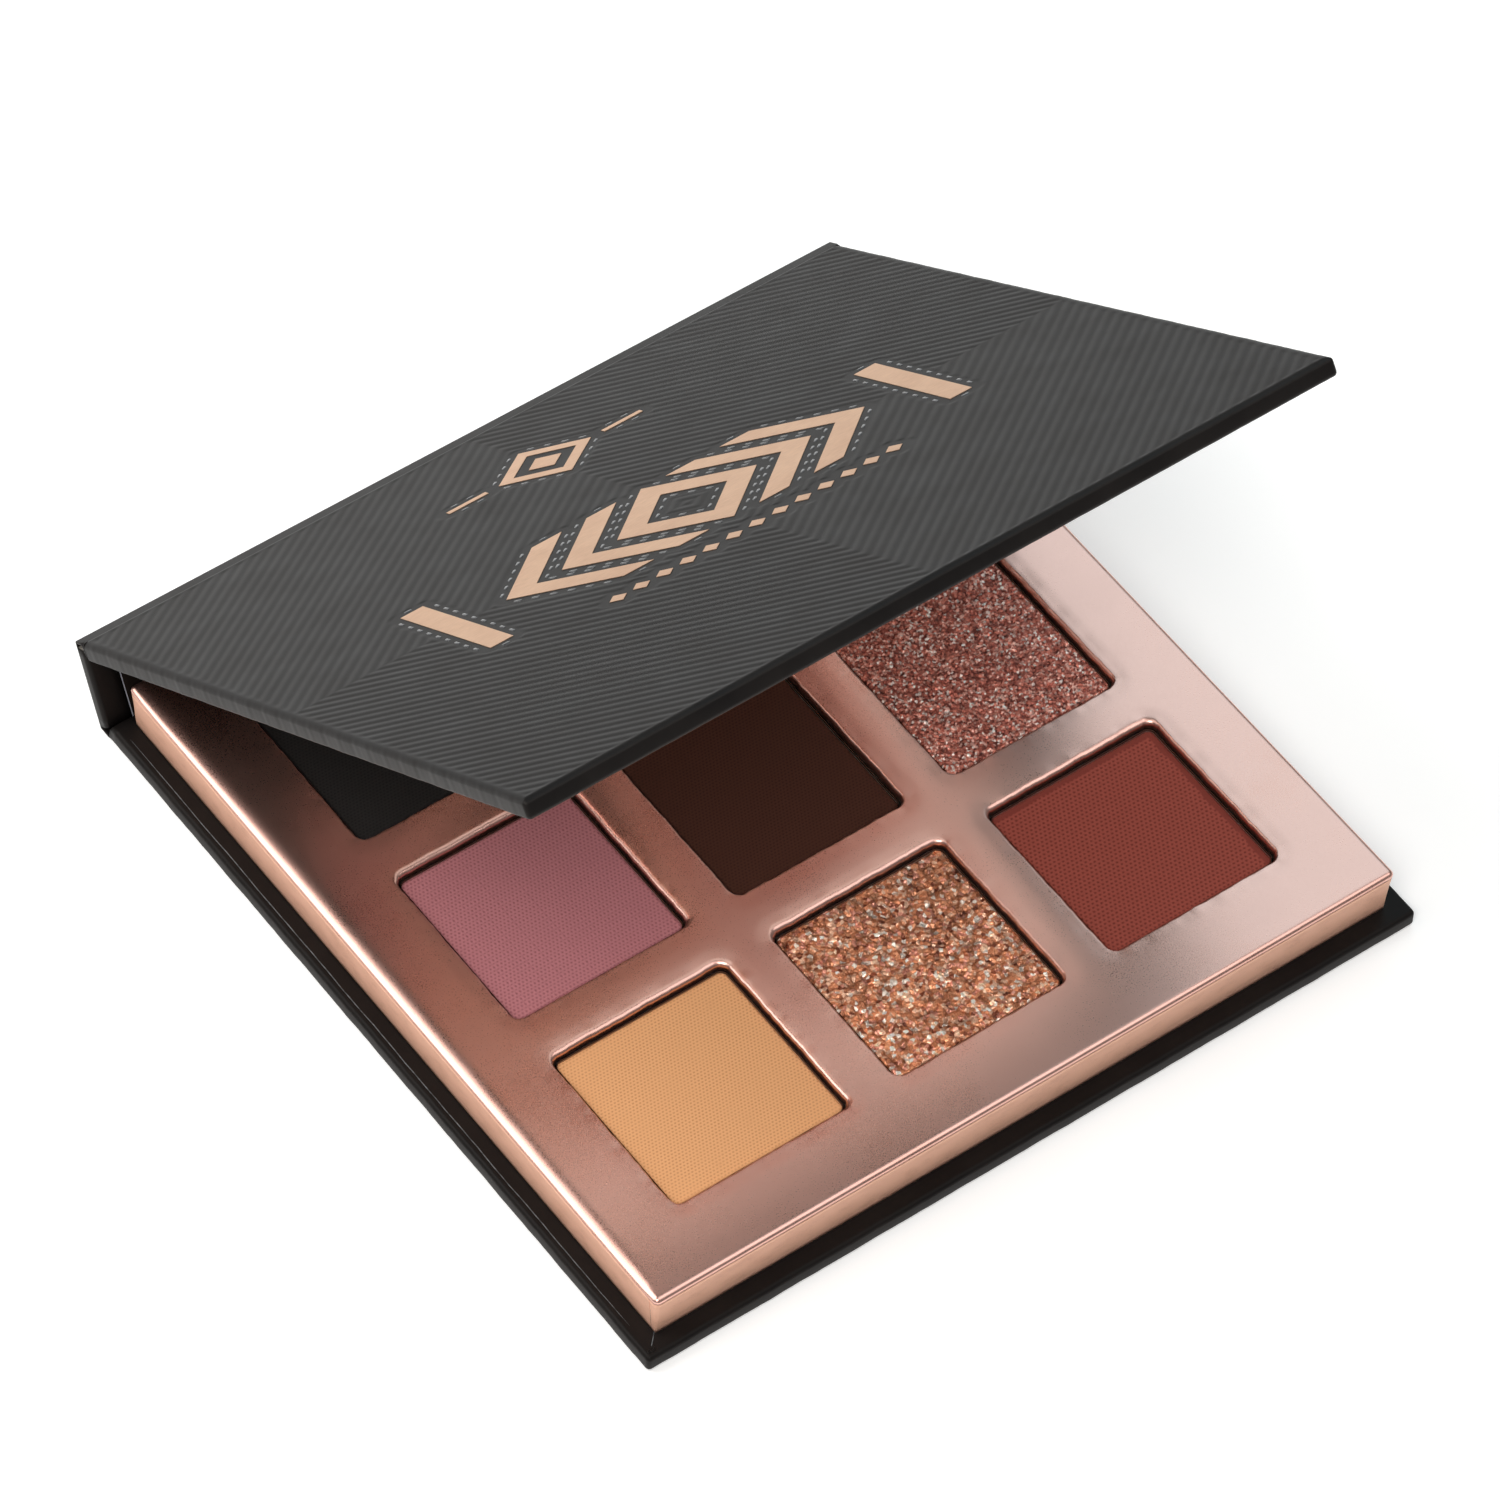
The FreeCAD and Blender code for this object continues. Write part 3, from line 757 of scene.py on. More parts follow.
def mitres(sides):
    """The cut edges where the turned-in flaps meet at free corners."""
    ridges = []
    for side in sides:
        corner, inward = free_corner(side)
        run = np.linspace(0, 1, 14)
        away = MITRE_START + MITRE_RUN * run + 0.05 * np.sin(9 * run)
        ridges.append((corner + inward * away[:, None], *MITRE_SIZE))
    return ridges


def bunches(side):
    """Paper gathered into two small loops at one free corner."""
    corner, inward = free_corner(side)
    ridges = []
    for away, radius, start, width, height in BUNCH_LOOPS:
        loop = []
        for part in range(12):
            angle = math.radians(start + 200 * part / 11)
            turn = np.array([side * math.cos(angle), math.sin(angle)])
            loop.append(corner + inward * away + radius * turn)
        ridges.append((loop, width, height))
    return ridges


def margin_highlight_ridges():
    """Low ridges along the two side margins, pale to paint their soft highlight."""
    ys = stations(BOARD_SETBACK + 0.4, CASE_DEPTH - 2.6, 1.5)
    xs = HALF_WIDTH - MARGIN_RIDGE_INSET - 0.05 * waver(ys, 71, 16.0)
    return [(np.column_stack([side * xs, ys]), *MARGIN_RIDGE_SIZE) for side in (-1, 1)]


def spine_panel(look):
    """Cover paper of the spine, wrapped round its two ends."""
    inner = OUTER + SPINE_THICK
    end = [(x, inner) for x in (TURN_IN, 2.4, 1.4, EDGE_RADIUS)]
    end += roll(inner, EDGE_RADIUS, -EDGE_RADIUS, 6, 1)
    end += roll(OUTER, EDGE_RADIUS, EDGE_RADIUS, 6)[::-1]
    section = [(x - HALF_WIDTH, z) for x, z in end]
    section += [(x, OUTER) for x in stations(-HALF_WIDTH + 1, HALF_WIDTH - 1, 2.0)]
    section += [(HALF_WIDTH - x, z) for x, z in end[::-1]]
    ys = stations(SPINE_MARGIN, SPINE_PITCH - SPINE_MARGIN, 1.0)
    rows = [(x, y, z) for y in ys for x, z in section]
    faces = grid_faces(len(ys), len(section))
    thing = make_mesh("spine_cover", placed(rows, SPINE_PLACE), faces, look)
    face_outwards(thing, SPINE_PLACE)
    return thicken(thing, SHEET)


# ---- creases


CREASE_SQUEEZE = 0.07       # the folded ends draw in this far at the crease


def fold_path(wide, narrow):
    """The sections across a crease, from the wide panel's board to the spine's.

    Each is (place, outer point, inner point), with points (y, z) in that place's own plane.
    """
    flat = OUTER + 2 * PAPER
    spine_top = OUTER + SPINE_THICK
    return [
        (wide, (BOARD_SETBACK, OUTER), (BOARD_SETBACK, INNER)),
        (wide, (1.95, OUTER), (1.93, INNER - 0.18)),
        (wide, (1.86, OUTER), (1.86, INNER - 0.7)),
        (wide, (1.76, OUTER), (1.80, flat + 0.5)),
        (wide, (1.6, OUTER), (1.70, flat + 0.12)),
        (wide, (1.2, OUTER), (1.35, flat + 0.02)),
        (wide, (0.8, OUTER), (0.85, flat)),
        (wide, (0.4, OUTER), (0.5, flat)),
        (wide, (0.12, OUTER), (0.28, flat)),
        (narrow, (0.0, OUTER), (0.22, flat)),
        (narrow, (0.1, OUTER), (0.30, flat + 0.05)),
        (narrow, (0.25, OUTER), (0.38, flat + 0.3)),
        (narrow, (0.4, OUTER), (0.46, spine_top - 0.55)),
        (narrow, (0.5, OUTER), (0.52, spine_top - 0.12)),
        (narrow, (SPINE_MARGIN, OUTER), (SPINE_MARGIN, spine_top)),
    ]


def end_section(thick):
    """One end of a folded strip: (distance in from the end, share of the thickness) pairs."""
    radius = min(EDGE_RADIUS, thick / 2)
    pairs = roll(0.0, radius, radius / thick, 6)
    pairs += roll(1.0, radius, -radius / thick, 6)[::-1]
    pairs += [(inset, 1.0) for inset in (1.4, 2.4, TURN_IN)]
    return pairs + [(TURN_IN, PAPER / thick)]


def crease_strip(name, rings, look, merge):
    """A strip of closed sections across a crease, between the two panels it joins."""
    faces = tube_faces(len(rings), len(rings[0]))
    thing = make_mesh(name, np.concatenate(rings), faces, look, merge=merge)
    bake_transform(thing)
    return thing


def crease_cover(name, wide, narrow, look):
    """The cover paper where it folds across a crease, with its turned-in ends."""
    rings = []
    middle = stations(-HALF_WIDTH + 1, HALF_WIDTH - 1, 2.0)
    path = fold_path(wide, narrow)
    for index, (place, low, high) in enumerate(path):
        low, high = placed([(0, *low), (0, *high)], place)
        squeeze = CREASE_SQUEEZE * math.sin(math.pi * index / (len(path) - 1)) ** 2
        ends = end_section(np.linalg.norm(high - low))
        right = [(HALF_WIDTH - squeeze - inset, share) for inset, share in ends]
        left = [(-x, share) for x, share in right[::-1]]
        loop = [(x, 0.0) for x in middle] + right + left
        rings.append([(x, *(low + (high - low) * share)[1:]) for x, share in loop])
    return crease_strip(name, rings, look, 0.001)


def crease_lining(name, wide, narrow, look):
    """The lining across the inside of a crease."""
    levels = (PAPER / 2, PAPER * 1.5)
    path = []
    for place, ys in ((wide, (0.75, 0.55, 0.42, 0.32)), (narrow, (0.32, 0.42, LINING_GAP))):
        path += [placed([(0, y, z) for z in levels], place) for y in ys]
    path.insert(4, (path[3] + path[4]) / 2)
    xs = stations(-LINING_HALF, LINING_HALF, 4.0)
    rings = []
    for below, above in path:
        rings.append([(x, *below[1:]) for x in xs] + [(x, *above[1:]) for x in xs[::-1]])
    return crease_strip(name, rings, look, 0.0005)


# ---- tray foil


SHOULDER = 2.4              # the foil starts to dip this far from an edge
SHOULDER_DROP = 0.08
BORDER = 2.6                # width of the strip along the tray's outer edge
BOARD_INSIDE = 0.15         # the board's surface under the foil's
BOARD_SHEET = 0.6           # how much of the board's thickness is shown
LIP_WAVE = 0.06             # how far a lip wanders, slowly
LIP_NICKS = 0.025           # and in short nicks
LIP_SAG = 0.03              # and how far it sinks in places
RIM_SLACK = 0.02            # and the tray's outer edge
SIDE_STEPS = 40
ARC_STEPS = 8


def soft_edge(offset, reach, depth, softness=1.0):
    """Drop of the foil below the tray's face at a distance from an edge."""
    offset = np.asarray(offset, float)
    dip = SHOULDER_DROP * softness * (1 - smooth_step(0.3, SHOULDER, offset))
    inwards = np.clip(1 - offset / reach, 0, 1)
    return dip + depth * (1 - np.sqrt(1 - inwards ** 2))


def cell_places(centre, low, high):
    """Places along one side of a cell's border, in step with that side of the window."""
    flat = WINDOW_HALF - WINDOW_CORNER
    half_arc = range(1, ARC_STEPS // 2 + 1)
    fan = [math.tan(math.radians(90 * step / ARC_STEPS)) for step in half_arc]
    before = [centre - flat - (centre - flat - low) * t for t in fan[::-1]]
    beside = np.linspace(centre - flat, centre + flat, SIDE_STEPS + 1)
    after = [centre + flat + (high - centre - flat) * t for t in fan]
    return np.concatenate([before, beside, after])


def window_loop(cx, cy):
    """Points and outward directions round a window, in step with cell_loop."""
    flat = WINDOW_HALF - WINDOW_CORNER

    def on_corner(middle_x, steps):
        angle = math.radians(-90 + 90 * steps / ARC_STEPS)
        nx, ny = math.cos(angle), math.sin(angle)
        return middle_x + WINDOW_CORNER * nx, -flat + WINDOW_CORNER * ny, nx, ny

    side = [on_corner(-flat, step) for step in range(-(ARC_STEPS // 2), 0)]
    side += [(x, -WINDOW_HALF, 0, -1) for x in np.linspace(-flat, flat, SIDE_STEPS + 1)]
    side += [on_corner(flat, step) for step in range(1, ARC_STEPS // 2)]
    points, normals = [], []
    for quarter in range(4):
        turn = math.radians(90 * quarter)
        c, s = math.cos(turn), math.sin(turn)
        for x, y, nx, ny in side:
            points.append((cx + c * x - s * y, cy + s * x + c * y))
            normals.append((c * nx - s * ny, s * nx + c * ny))
    return np.array(points), np.array(normals)


def cell_loop(cx, cy, x0, x1, y0, y1):
    """Points round the cell's border, one for each point of window_loop."""
    xs = cell_places(cx, x0, x1)
    ys = cell_places(cy, y0, y1)
    loop = [(x, y0) for x in xs[:-1]]
    loop += [(x1, y) for y in ys[:-1]]
    loop += [(x, y1) for x in xs[:0:-1]]
    loop += [(x0, y) for y in ys[:0:-1]]
    return np.array(loop)


def cell_bounds(index, low, high, middle):
    """Border of a cell along one axis: halfway to the next window, or the strip at the edge."""
    start = low + BORDER if index == 0 else middle - PITCH / 2
    end = high - BORDER if index == 2 else middle + PITCH / 2
    return start, end


def window_middle(row, column):
    """Plan place of a window's middle."""
    return (column - 1) * PITCH, TRAY_Y + (row - 1) * PITCH


def lip_rings(row, column, inside, window_foot):
    """Rings from down in a window, over its lip and across the shoulder round it."""
    edge, outward = window_loop(*window_middle(row, column))
    run = np.arange(len(edge)) * 0.5
    seed = 10 + 3 * row + column
    softness = np.clip(outward[:, 1], 0, 1)
    if column == 0:
        softness = np.maximum(softness, np.clip(outward[:, 0], 0, 1))
    reach = CRISP_REACH + (LIP_REACH - CRISP_REACH) * softness
    below_lip = LIP_DROP + SHOULDER_DROP + 0.02
    pairs = [(np.zeros(len(edge)), np.full(len(edge), drop))
             for drop in (window_foot, LIP_DEPTH * 0.8, below_lip)]
    # Each ring is a share of the way over the roll, then of the way across the shoulder.
    lips = [(1 - math.cos(angle), 0.0) for angle in quarter_turn(10, 1)]
    lips += [(1.0, share) for share in (0.2, 0.45, 0.7, 1.0)]
    for roll, shoulder in lips:
        offset = reach * roll + (SHOULDER - reach) * shoulder
        pairs.append((offset, soft_edge(offset, reach, LIP_DROP)))
    rings = []
    for offset, drop in pairs:
        near = 1 - smooth_step(0.5, 1.8, offset)
        shift = (LIP_WAVE * waver(run, seed, 7.0) + LIP_NICKS * waver(run, seed + 50, 1.6)) * near
        sag = LIP_SAG * waver(run, seed + 90, 5.0) * near
        out = offset + inside + np.maximum(shift, -offset - 0.04)
        level = TRAY_TOP - inside - drop + np.minimum(sag, drop)
        rings.append(at_level(edge + outward * out[:, None], level))
    return rings


def rim_rings(xs, ys, inside, outer_foot):
    """Rings from the flat face, over the tray's outer edge and down its side."""
    rim = [BORDER, 2.3, 2.0, 1.8]
    rim += [RIM_REACH * (1 - math.cos(angle)) for angle in quarter_turn(12, 1)[::-1]]
    pairs = [(offset, None) for offset in rim]
    pairs += [(0.0, RIM_DROP + SHOULDER_DROP), (0.0, outer_foot)]
    rings = []
    for offset, fixed_drop in pairs:
        drawn_in = 0.0 if offset == BORDER else inside
        if fixed_drop:
            drawn_in += TRAY_TAPER * fixed_drop / (TRAY_TOP - TRAY_FLOOR)
        ring = outline(
            TRAY_HALF, TRAY_FRONT, TRAY_BACK, offset + drawn_in, TRAY_CORNER, xs, ys, True)
        drop = np.full(len(ring), fixed_drop or 0.0)
        if fixed_drop is None and offset < BORDER:
            from_left = ring[:, 0] + TRAY_HALF
            from_ends = np.minimum(ring[:, 1] - TRAY_FRONT, TRAY_BACK - ring[:, 1])
            softness = smooth_step(0, 3, from_ends - from_left)
            reach = CRISP_RIM + (RIM_REACH - CRISP_RIM) * softness
            drop = soft_edge(offset, reach, RIM_DROP, softness)
        loose = RIM_SLACK * waver(ring.sum(axis=1), 61, 11.0) * smooth_step(0.0, 0.5, drop)
        level = TRAY_TOP - inside - drop + np.minimum(loose, 0)
        rings.append(at_level(ring, level))
    return rings


def window_sheet(name, look, inside=0.0, window_foot=LIP_DEPTH, outer_foot=SEAM_DROP):
    """The tray's top: soft shoulders and rolled lips at nine windows, rounded outer edge.

    inside shifts the whole surface inwards, for the board under the foil. The feet are how
    far down the sheet reaches in the windows and at the outer edge.
    """
    points, faces, count = [], [], 0
    xs_all, ys_all = [], []
    for row in range(3):
        for column in range(3):
            cx, cy = window_middle(row, column)
            x_span = cell_bounds(column, -TRAY_HALF, TRAY_HALF, cx)
            y_span = cell_bounds(row, TRAY_FRONT, TRAY_BACK, cy)
            border = cell_loop(cx, cy, *x_span, *y_span)
            rings = lip_rings(row, column, inside, window_foot)
            rings.append(at_level(border, TRAY_TOP - inside))
            points += rings
            faces += grid_faces(len(rings), len(border), count, closed=True)
            count += len(rings) * len(border)
            xs_all.append(cell_places(cx, *x_span))
            ys_all.append(cell_places(cy, *y_span))
    xs = np.unique(np.round(np.concatenate(xs_all), 5))
    ys = np.unique(np.round(np.concatenate(ys_all), 5))
    rings = rim_rings(xs, ys, inside, outer_foot)
    points += rings
    faces += grid_faces(len(rings), len(rings[0]), count, closed=True)
    thing = make_mesh(name, np.concatenate(points), faces, look, 60.0, merge=0.003)
    if not any(p.normal.z > 0.9 for p in list(thing.data.polygons)[:4000]):
        thing.data.flip_normals()
    return thing


SIDE_HOLLOW = 0.024         # the band sinks in this far between its top and its foot
SEAM_STEP = 0.1             # and its joint this far


def foil_sides(look):
    """The foil band round the tray, with its joint near the front left corner."""
    seam = TRAY_FRONT + SIDE_SEAM_FROM_CORNER
    spacing = 1.5
    margin = TRAY_CORNER + 0.6
    xs = stations(-TRAY_HALF + margin, TRAY_HALF - margin, spacing)
    ys = stations(TRAY_FRONT + margin, TRAY_BACK - margin, spacing)
    near_seam = seam + np.array([-0.2, -0.06, -0.03, 0.03, 0.06, 0.2])
    ys = np.unique(np.concatenate([ys, near_seam]))
    middle = np.array([0, TRAY_Y])
    top = TRAY_TOP - SEAM_DROP - SEAM_GAP
    rings = []
    for z in np.linspace(top, TRAY_FLOOR, 12):
        drawn_in = TRAY_TAPER * (TRAY_TOP - z) / (TRAY_TOP - TRAY_FLOOR)
        ring = outline(TRAY_HALF, TRAY_FRONT, TRAY_BACK, drawn_in, TRAY_CORNER, xs, ys, True)
        run = np.arange(len(ring)) * spacing
        bow = math.sin(math.pi * (z - TRAY_FLOOR) / (top - TRAY_FLOOR))
        hollow = SIDE_HOLLOW * (1 + waver(run + 3 * z, 5, 22.0)) * bow
        on_side = np.abs(ring - middle) > (TRAY_HALF - 1.2)
        ring = ring - np.sign(ring - middle) * on_side * hollow[:, None]
        at_seam = (ring[:, 0] < -TRAY_HALF + 2) & (np.abs(ring[:, 1] - seam) < 0.045)
        ring[at_seam, 0] += SEAM_STEP
        rings.append(at_level(ring, z))
    faces = grid_faces(len(rings), len(rings[0]), closed=True)
    thing = make_mesh("tray_foil_sides", np.concatenate(rings), faces, look, 50.0, merge=0.002)
    side = max(thing.data.polygons, key=lambda p: p.center.x)
    if side.normal.x < 0:
        thing.data.flip_normals()
    return thicken(thing, FOIL)


# ---- pans


PAN_SHEET = 0.12
PAN_CORNER = 1.0
PAN_FOOT = 0.5              # radius of the fold between the walls and the bottom


def pan_piece(name, cx, cy, look):
    """A pressed aluminium pan: thin walls with a rolled rim and a soft foot."""
    flat = PAN_HALF - PAN_CORNER
    run = stations(-flat, flat, 2.0)
    under_powder = 4.0
    profile = [(under_powder, PAN_BOTTOM), (PAN_FOOT, PAN_BOTTOM)]
    profile += roll(PAN_BOTTOM, PAN_FOOT, PAN_FOOT, 4, 1)
    half_sheet = PAN_SHEET / 2
    for part in range(7):
        angle = math.radians(180 * part / 6)
        offset = half_sheet * (1 - math.cos(angle))
        profile.append((offset, PAN_RIM - half_sheet * (1 - math.sin(angle))))
    profile += [
        (PAN_SHEET, PAN_BOTTOM + 0.6),
        (0.6, PAN_BOTTOM + PAN_SHEET),
        (under_powder, PAN_BOTTOM + PAN_SHEET)]
    points = []
    for offset, z in profile:
        ring = outline(PAN_HALF, -PAN_HALF, PAN_HALF, offset, PAN_CORNER, run, run, True)
        points.append(at_level(ring + (cx, cy), z))
    faces = tube_faces(len(profile), len(points[0]))
    return make_mesh(name, np.concatenate(points), faces, look, 50.0, merge=0.001)


# ---- powders


CRUMBLE_DROP = 0.2          # how far a powder's edge has crumbled down
CRUMBLE_WIDTH = 0.22        # and how far in
CRUMBLE_SPREAD = 0.12       # give or take


def powder_plan(step):
    """A grid over a powder, rounded at its corners, and how far each point is from the edge.

    The points are exact multiples of step, so that press marks repeat evenly.
    """
    most = int((POWDER_HALF - 0.2 * step) / step)
    line = np.concatenate([[-POWDER_HALF], np.arange(-most, most + 1) * step, [POWDER_HALF]])
    x, y = np.meshgrid(line, line)
    inner = POWDER_HALF - POWDER_CORNER
    out_x = np.maximum(np.abs(x) - inner, 0)
    out_y = np.maximum(np.abs(y) - inner, 0)
    reach = np.hypot(out_x, out_y)
    pull = np.where(reach > POWDER_CORNER, POWDER_CORNER / np.maximum(reach, 1e-9), 1.0)
    px = np.sign(x) * (np.minimum(np.abs(x), inner) + out_x * pull)
    py = np.sign(y) * (np.minimum(np.abs(y), inner) + out_y * pull)
    to_edge = POWDER_CORNER - np.hypot(out_x * pull, out_y * pull)
    to_edge = np.where((out_x == 0) & (out_y == 0), POWDER_HALF, to_edge)
    to_side = np.minimum(POWDER_HALF - np.abs(px), POWDER_HALF - np.abs(py))
    return px, py, np.minimum(to_edge, to_side)


def powder_piece(name, cx, cy, top, relief, look, step, tints):
    """A pressed powder: a fine surface with crumbled edges on a closed block.

    Its colour layer holds the tints, or else the height of the relief as a share.
    """
    x, y, to_edge = powder_plan(step)
    height = relief(x, y)
    crumble = CRUMBLE_WIDTH + CRUMBLE_SPREAD * unevenness(x * 3, y * 3, 31, 6.0)
    z = top + height - CRUMBLE_DROP * (1 - smooth_step(0, 1, to_edge / crumble))
    surface = np.column_stack([cx + x.ravel(), cy + y.ravel(), z.ravel()])
    n = len(x)
    index = np.arange(n * n).reshape(n, n)
    border = np.concatenate([index[0, :-1], index[:-1, -1], index[-1, :0:-1], index[:0:-1, 0]])
    foot = surface[border]
    foot[:, 2] = PAN_BOTTOM + PAN_WALL
    below = n * n + np.arange(len(border))
    walls = np.column_stack([np.roll(border, -1), border, below, np.roll(below, -1)])
    faces = grid_faces(n, n) + walls.tolist() + [below[::-1].tolist()]
    thing = make_mesh(name, np.concatenate([surface, foot]), faces, look, 75.0)
    # Without tints, the colour layer follows the relief's height: painted shade in the hollows.
    if tints is None:
        low, high = np.percentile(height, (5, 95))
        shades = np.clip((height - low) / (high - low), 0, 1).reshape(-1, 1)
    else:
        shades = tints(x, y).reshape(-1, 3)
    colours = np.ones((n * n + len(border), 4))
    colours[:n * n, :3] = shades
    layer = thing.data.color_attributes.new("tint", "FLOAT_COLOR", "POINT")
    layer.data.foreach_set("color", colours.ravel())
    return thing


def press_dots(x, y, pitch, stretch):
    """1 in the middle of each dot of a staggered pattern, falling to 0 between the dots."""
    row_pitch = 0.87 * pitch
    dot = 0.27 * pitch
    row = np.round(y / row_pitch)
    shift = 0.5 * (row % 2)
    column = np.round(x / pitch - shift)
    dx = (x - (column + shift) * pitch) / (dot * stretch)
    dy = (y - row * row_pitch) / dot
    return np.exp(-(dx ** 2 + dy ** 2))


def canvas(pitch, depth, seed):
    """Cloth-pressed surface: small staggered pits, deeper in some places than others."""
    def relief(x, y):
        worn = 0.65 + 0.35 * unevenness(x, y, seed + 3, 9.0)
        return depth * worn * (0.4 - press_dots(x, y, pitch, 1.25))
    return relief


def ribbed(pitch, depth, seed):
    """Upright rows of stitches with a few ribs standing out."""
    def relief(x, y):
        rib = np.abs(np.cos(math.pi * x / pitch)) - 0.6
        strong = 0.5 + 0.5 * waver(x, seed, 3.0)
        worn = 0.75 + 0.25 * unevenness(x, y, seed + 3, 9.0)
        return depth * worn * (0.55 * rib * strong - press_dots(x, y, pitch, 1.0) + 0.4)
    return relief


def pitted(pitch, depth, seed):
    """Staggered small pits, with a smooth sunken margin at the back and right."""
    def relief(x, y):
        edge = np.minimum(POWDER_HALF - x, POWDER_HALF - y) + 0.15 * waver(x - y, seed)
        margin = 1 - smooth_step(0.7, 1.0, edge)
        return -depth * press_dots(x, y, pitch, 1.1) * (1 - margin) - 0.07 * margin
    return relief


def nearest_flakes(x, y, size, seed):
    """For each point: its flake's number, its place from that flake's middle, and the count."""
    rng = np.random.default_rng(seed)
    cells = int(2 * POWDER_HALF / size) + 4
    jitter = rng.random((2, cells, cells))
    gx = np.floor((x + POWDER_HALF) / size).astype(int) + 1
    gy = np.floor((y + POWDER_HALF) / size).astype(int) + 1
    best = np.full(x.shape, 1e9)
    number = np.zeros(x.shape, int)
    off_x, off_y = np.zeros(x.shape), np.zeros(x.shape)
    for step_x in (-1, 0, 1):
        for step_y in (-1, 0, 1):
            i = np.clip(gx + step_x, 0, cells - 1)
            j = np.clip(gy + step_y, 0, cells - 1)
            dx = x - ((i - 1 + jitter[0, i, j]) * size - POWDER_HALF)
            dy = y - ((j - 1 + jitter[1, i, j]) * size - POWDER_HALF)
            closer = dx * dx + dy * dy < best
            best = np.where(closer, dx * dx + dy * dy, best)
            number = np.where(closer, i * cells + j, number)
            off_x = np.where(closer, dx, off_x)
            off_y = np.where(closer, dy, off_y)
    return number, off_x, off_y, cells * cells


def crumbs(x, y, clump, seed):
    """For each point: the number of its clump, and 0 on the clump to 1 in a crevice."""
    bent = x + 0.15 * unevenness(x, y, seed + 6, 1.6)
    number, off_x, off_y, total = nearest_flakes(bent, y, clump, seed + 7)
    away = np.hypot(off_x, off_y) / clump + 0.12 * unevenness(x, y, seed + 8, 4.0)
    return number, smooth_step(0.35, 0.75, away), total


def flaky(size, clump, seed, tilt, rise):
    """Relief of pressed flakes, each lying at its own slant, with crevices between crumbs."""
    def relief(x, y):
        number, dx, dy, total = nearest_flakes(x, y, size, seed)
        rng = np.random.default_rng(seed + 1)
        slant = rng.normal(0, tilt, (2, total))
        lift = rng.random(total) * rise
        slope = slant[0][number] * dx + slant[1][number] * dy
        flake = lift[number] - rise + np.clip(slope, -0.1, 0.1)
        _, crevice, _ = crumbs(x, y, clump, seed)
        return flake + 0.03 * unevenness(x, y, seed, 6.0) - 1.8 * rise * crevice
    return relief


def flake_tints(size, clump, seed, palette, shares, shade, painted_shadow_slope):
    """A colour for each flake, picked from a palette by share, with painted shade in the
    crevices.

    The last argument paints light on the front left and shadow on the back right, where the lid
    shades the pan.
    """
    def tints(x, y):
        number, _, _, total = nearest_flakes(x, y, size, seed)
        rng = np.random.default_rng(seed + 2)
        colours = np.array([rgba(c)[:3] for c in palette])
        picked = colours[rng.choice(len(palette), total, p=shares)]
        picked = picked * rng.uniform(0.8, 1.15, (total, 1))
        crumb, crevice, crumb_total = crumbs(x, y, clump, seed)
        # Painted shade in the crevices; each crumb also has its own random tone.
        dim = (1 - shade * crevice) * rng.uniform(0.7, 1.25, crumb_total)[crumb]
        # Painted light and shadow: lighter towards the front left, darker towards the back right.
        dim = dim * (1 - painted_shadow_slope * (0.4 * x + 0.6 * y) / POWDER_HALF)
        return np.clip(picked[number] * dim[..., None], 0, 1)
    return tints


# ---- build the pieces


def dress(node, look):
    """A CAD node keeps its shape and takes a new material."""
    mesh = frame["nodes"][node].data
    mesh.materials.clear()
    mesh.materials.append(look)


def build_case():
    # One paper in three copies: the shine differs only to paint the base darker and the lid
    # lighter.
    paper = {
        "base": black_paper("black_cover_paper_base", 0.0, 0.12),
        "spine": black_paper("black_cover_paper_spine", SPINE_TURN, 0.16),
        "lid": black_paper("black_cover_paper_lid", LID_TURN, 0.19),
    }
    step = 0.23      # fine enough for the lid's ridges
    lid = wrapped_panel("lid_cover", LID_PLACE, step, paper["lid"], 3, lid_relief)
    base = wrapped_panel("base_cover", BASE_PLACE, 1.0, paper["base"], 4)
    spine = spine_panel(paper["spine"])
    for thing, body in ((lid, "lid"), (base, "base"), (spine, "spine")):
        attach(thing, body)
        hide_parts(body + "_cover_paper")

    # Pale look: real cut edges at the mitres, painted highlight on the margin ridges.
    pale = cut_edge_and_highlight()
    for name, place, ridges, look, body in (
            ("base_corner_mitre", BASE_PLACE, mitres((1,)), pale, "base"),
            ("lid_corner_mitres", LID_PLACE, mitres((-1, 1)), pale, "lid"),
            ("base_margin_highlight_ridges", BASE_PLACE, margin_highlight_ridges(), pale, "base"),
            ("base_corner_bunch", BASE_PLACE, bunches(1), paper["base"], "base"),
            ("lid_corner_bunch", LID_PLACE, bunches(-1), paper["lid"], "lid")):
        thing = beads(name, place, ridges, look)
        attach(thing, body)

    dashes = varnish_dashes(clear_varnish_painted_sheen())
    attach(dashes, "lid")

    lining = {
        "base": lining_paper("black_lining_paper_base", 0.0),
        "spine": lining_paper("black_lining_paper_spine", SPINE_TURN),
        "lid": lining_paper("black_lining_paper_lid", LID_TURN),
    }
    for body, look in lining.items():
        dress(body + "_lining", look)
    for name, place, bodies in (
            ("lower_crease", BASE_PLACE, ("base", "spine")),
            ("upper_crease", LID_PLACE, ("lid", "spine"))):
        cover = crease_cover(name + "_cover", place, SPINE_PLACE, paper[bodies[0]])
        strip = crease_lining(name + "_lining", place, SPINE_PLACE, lining[bodies[0]])


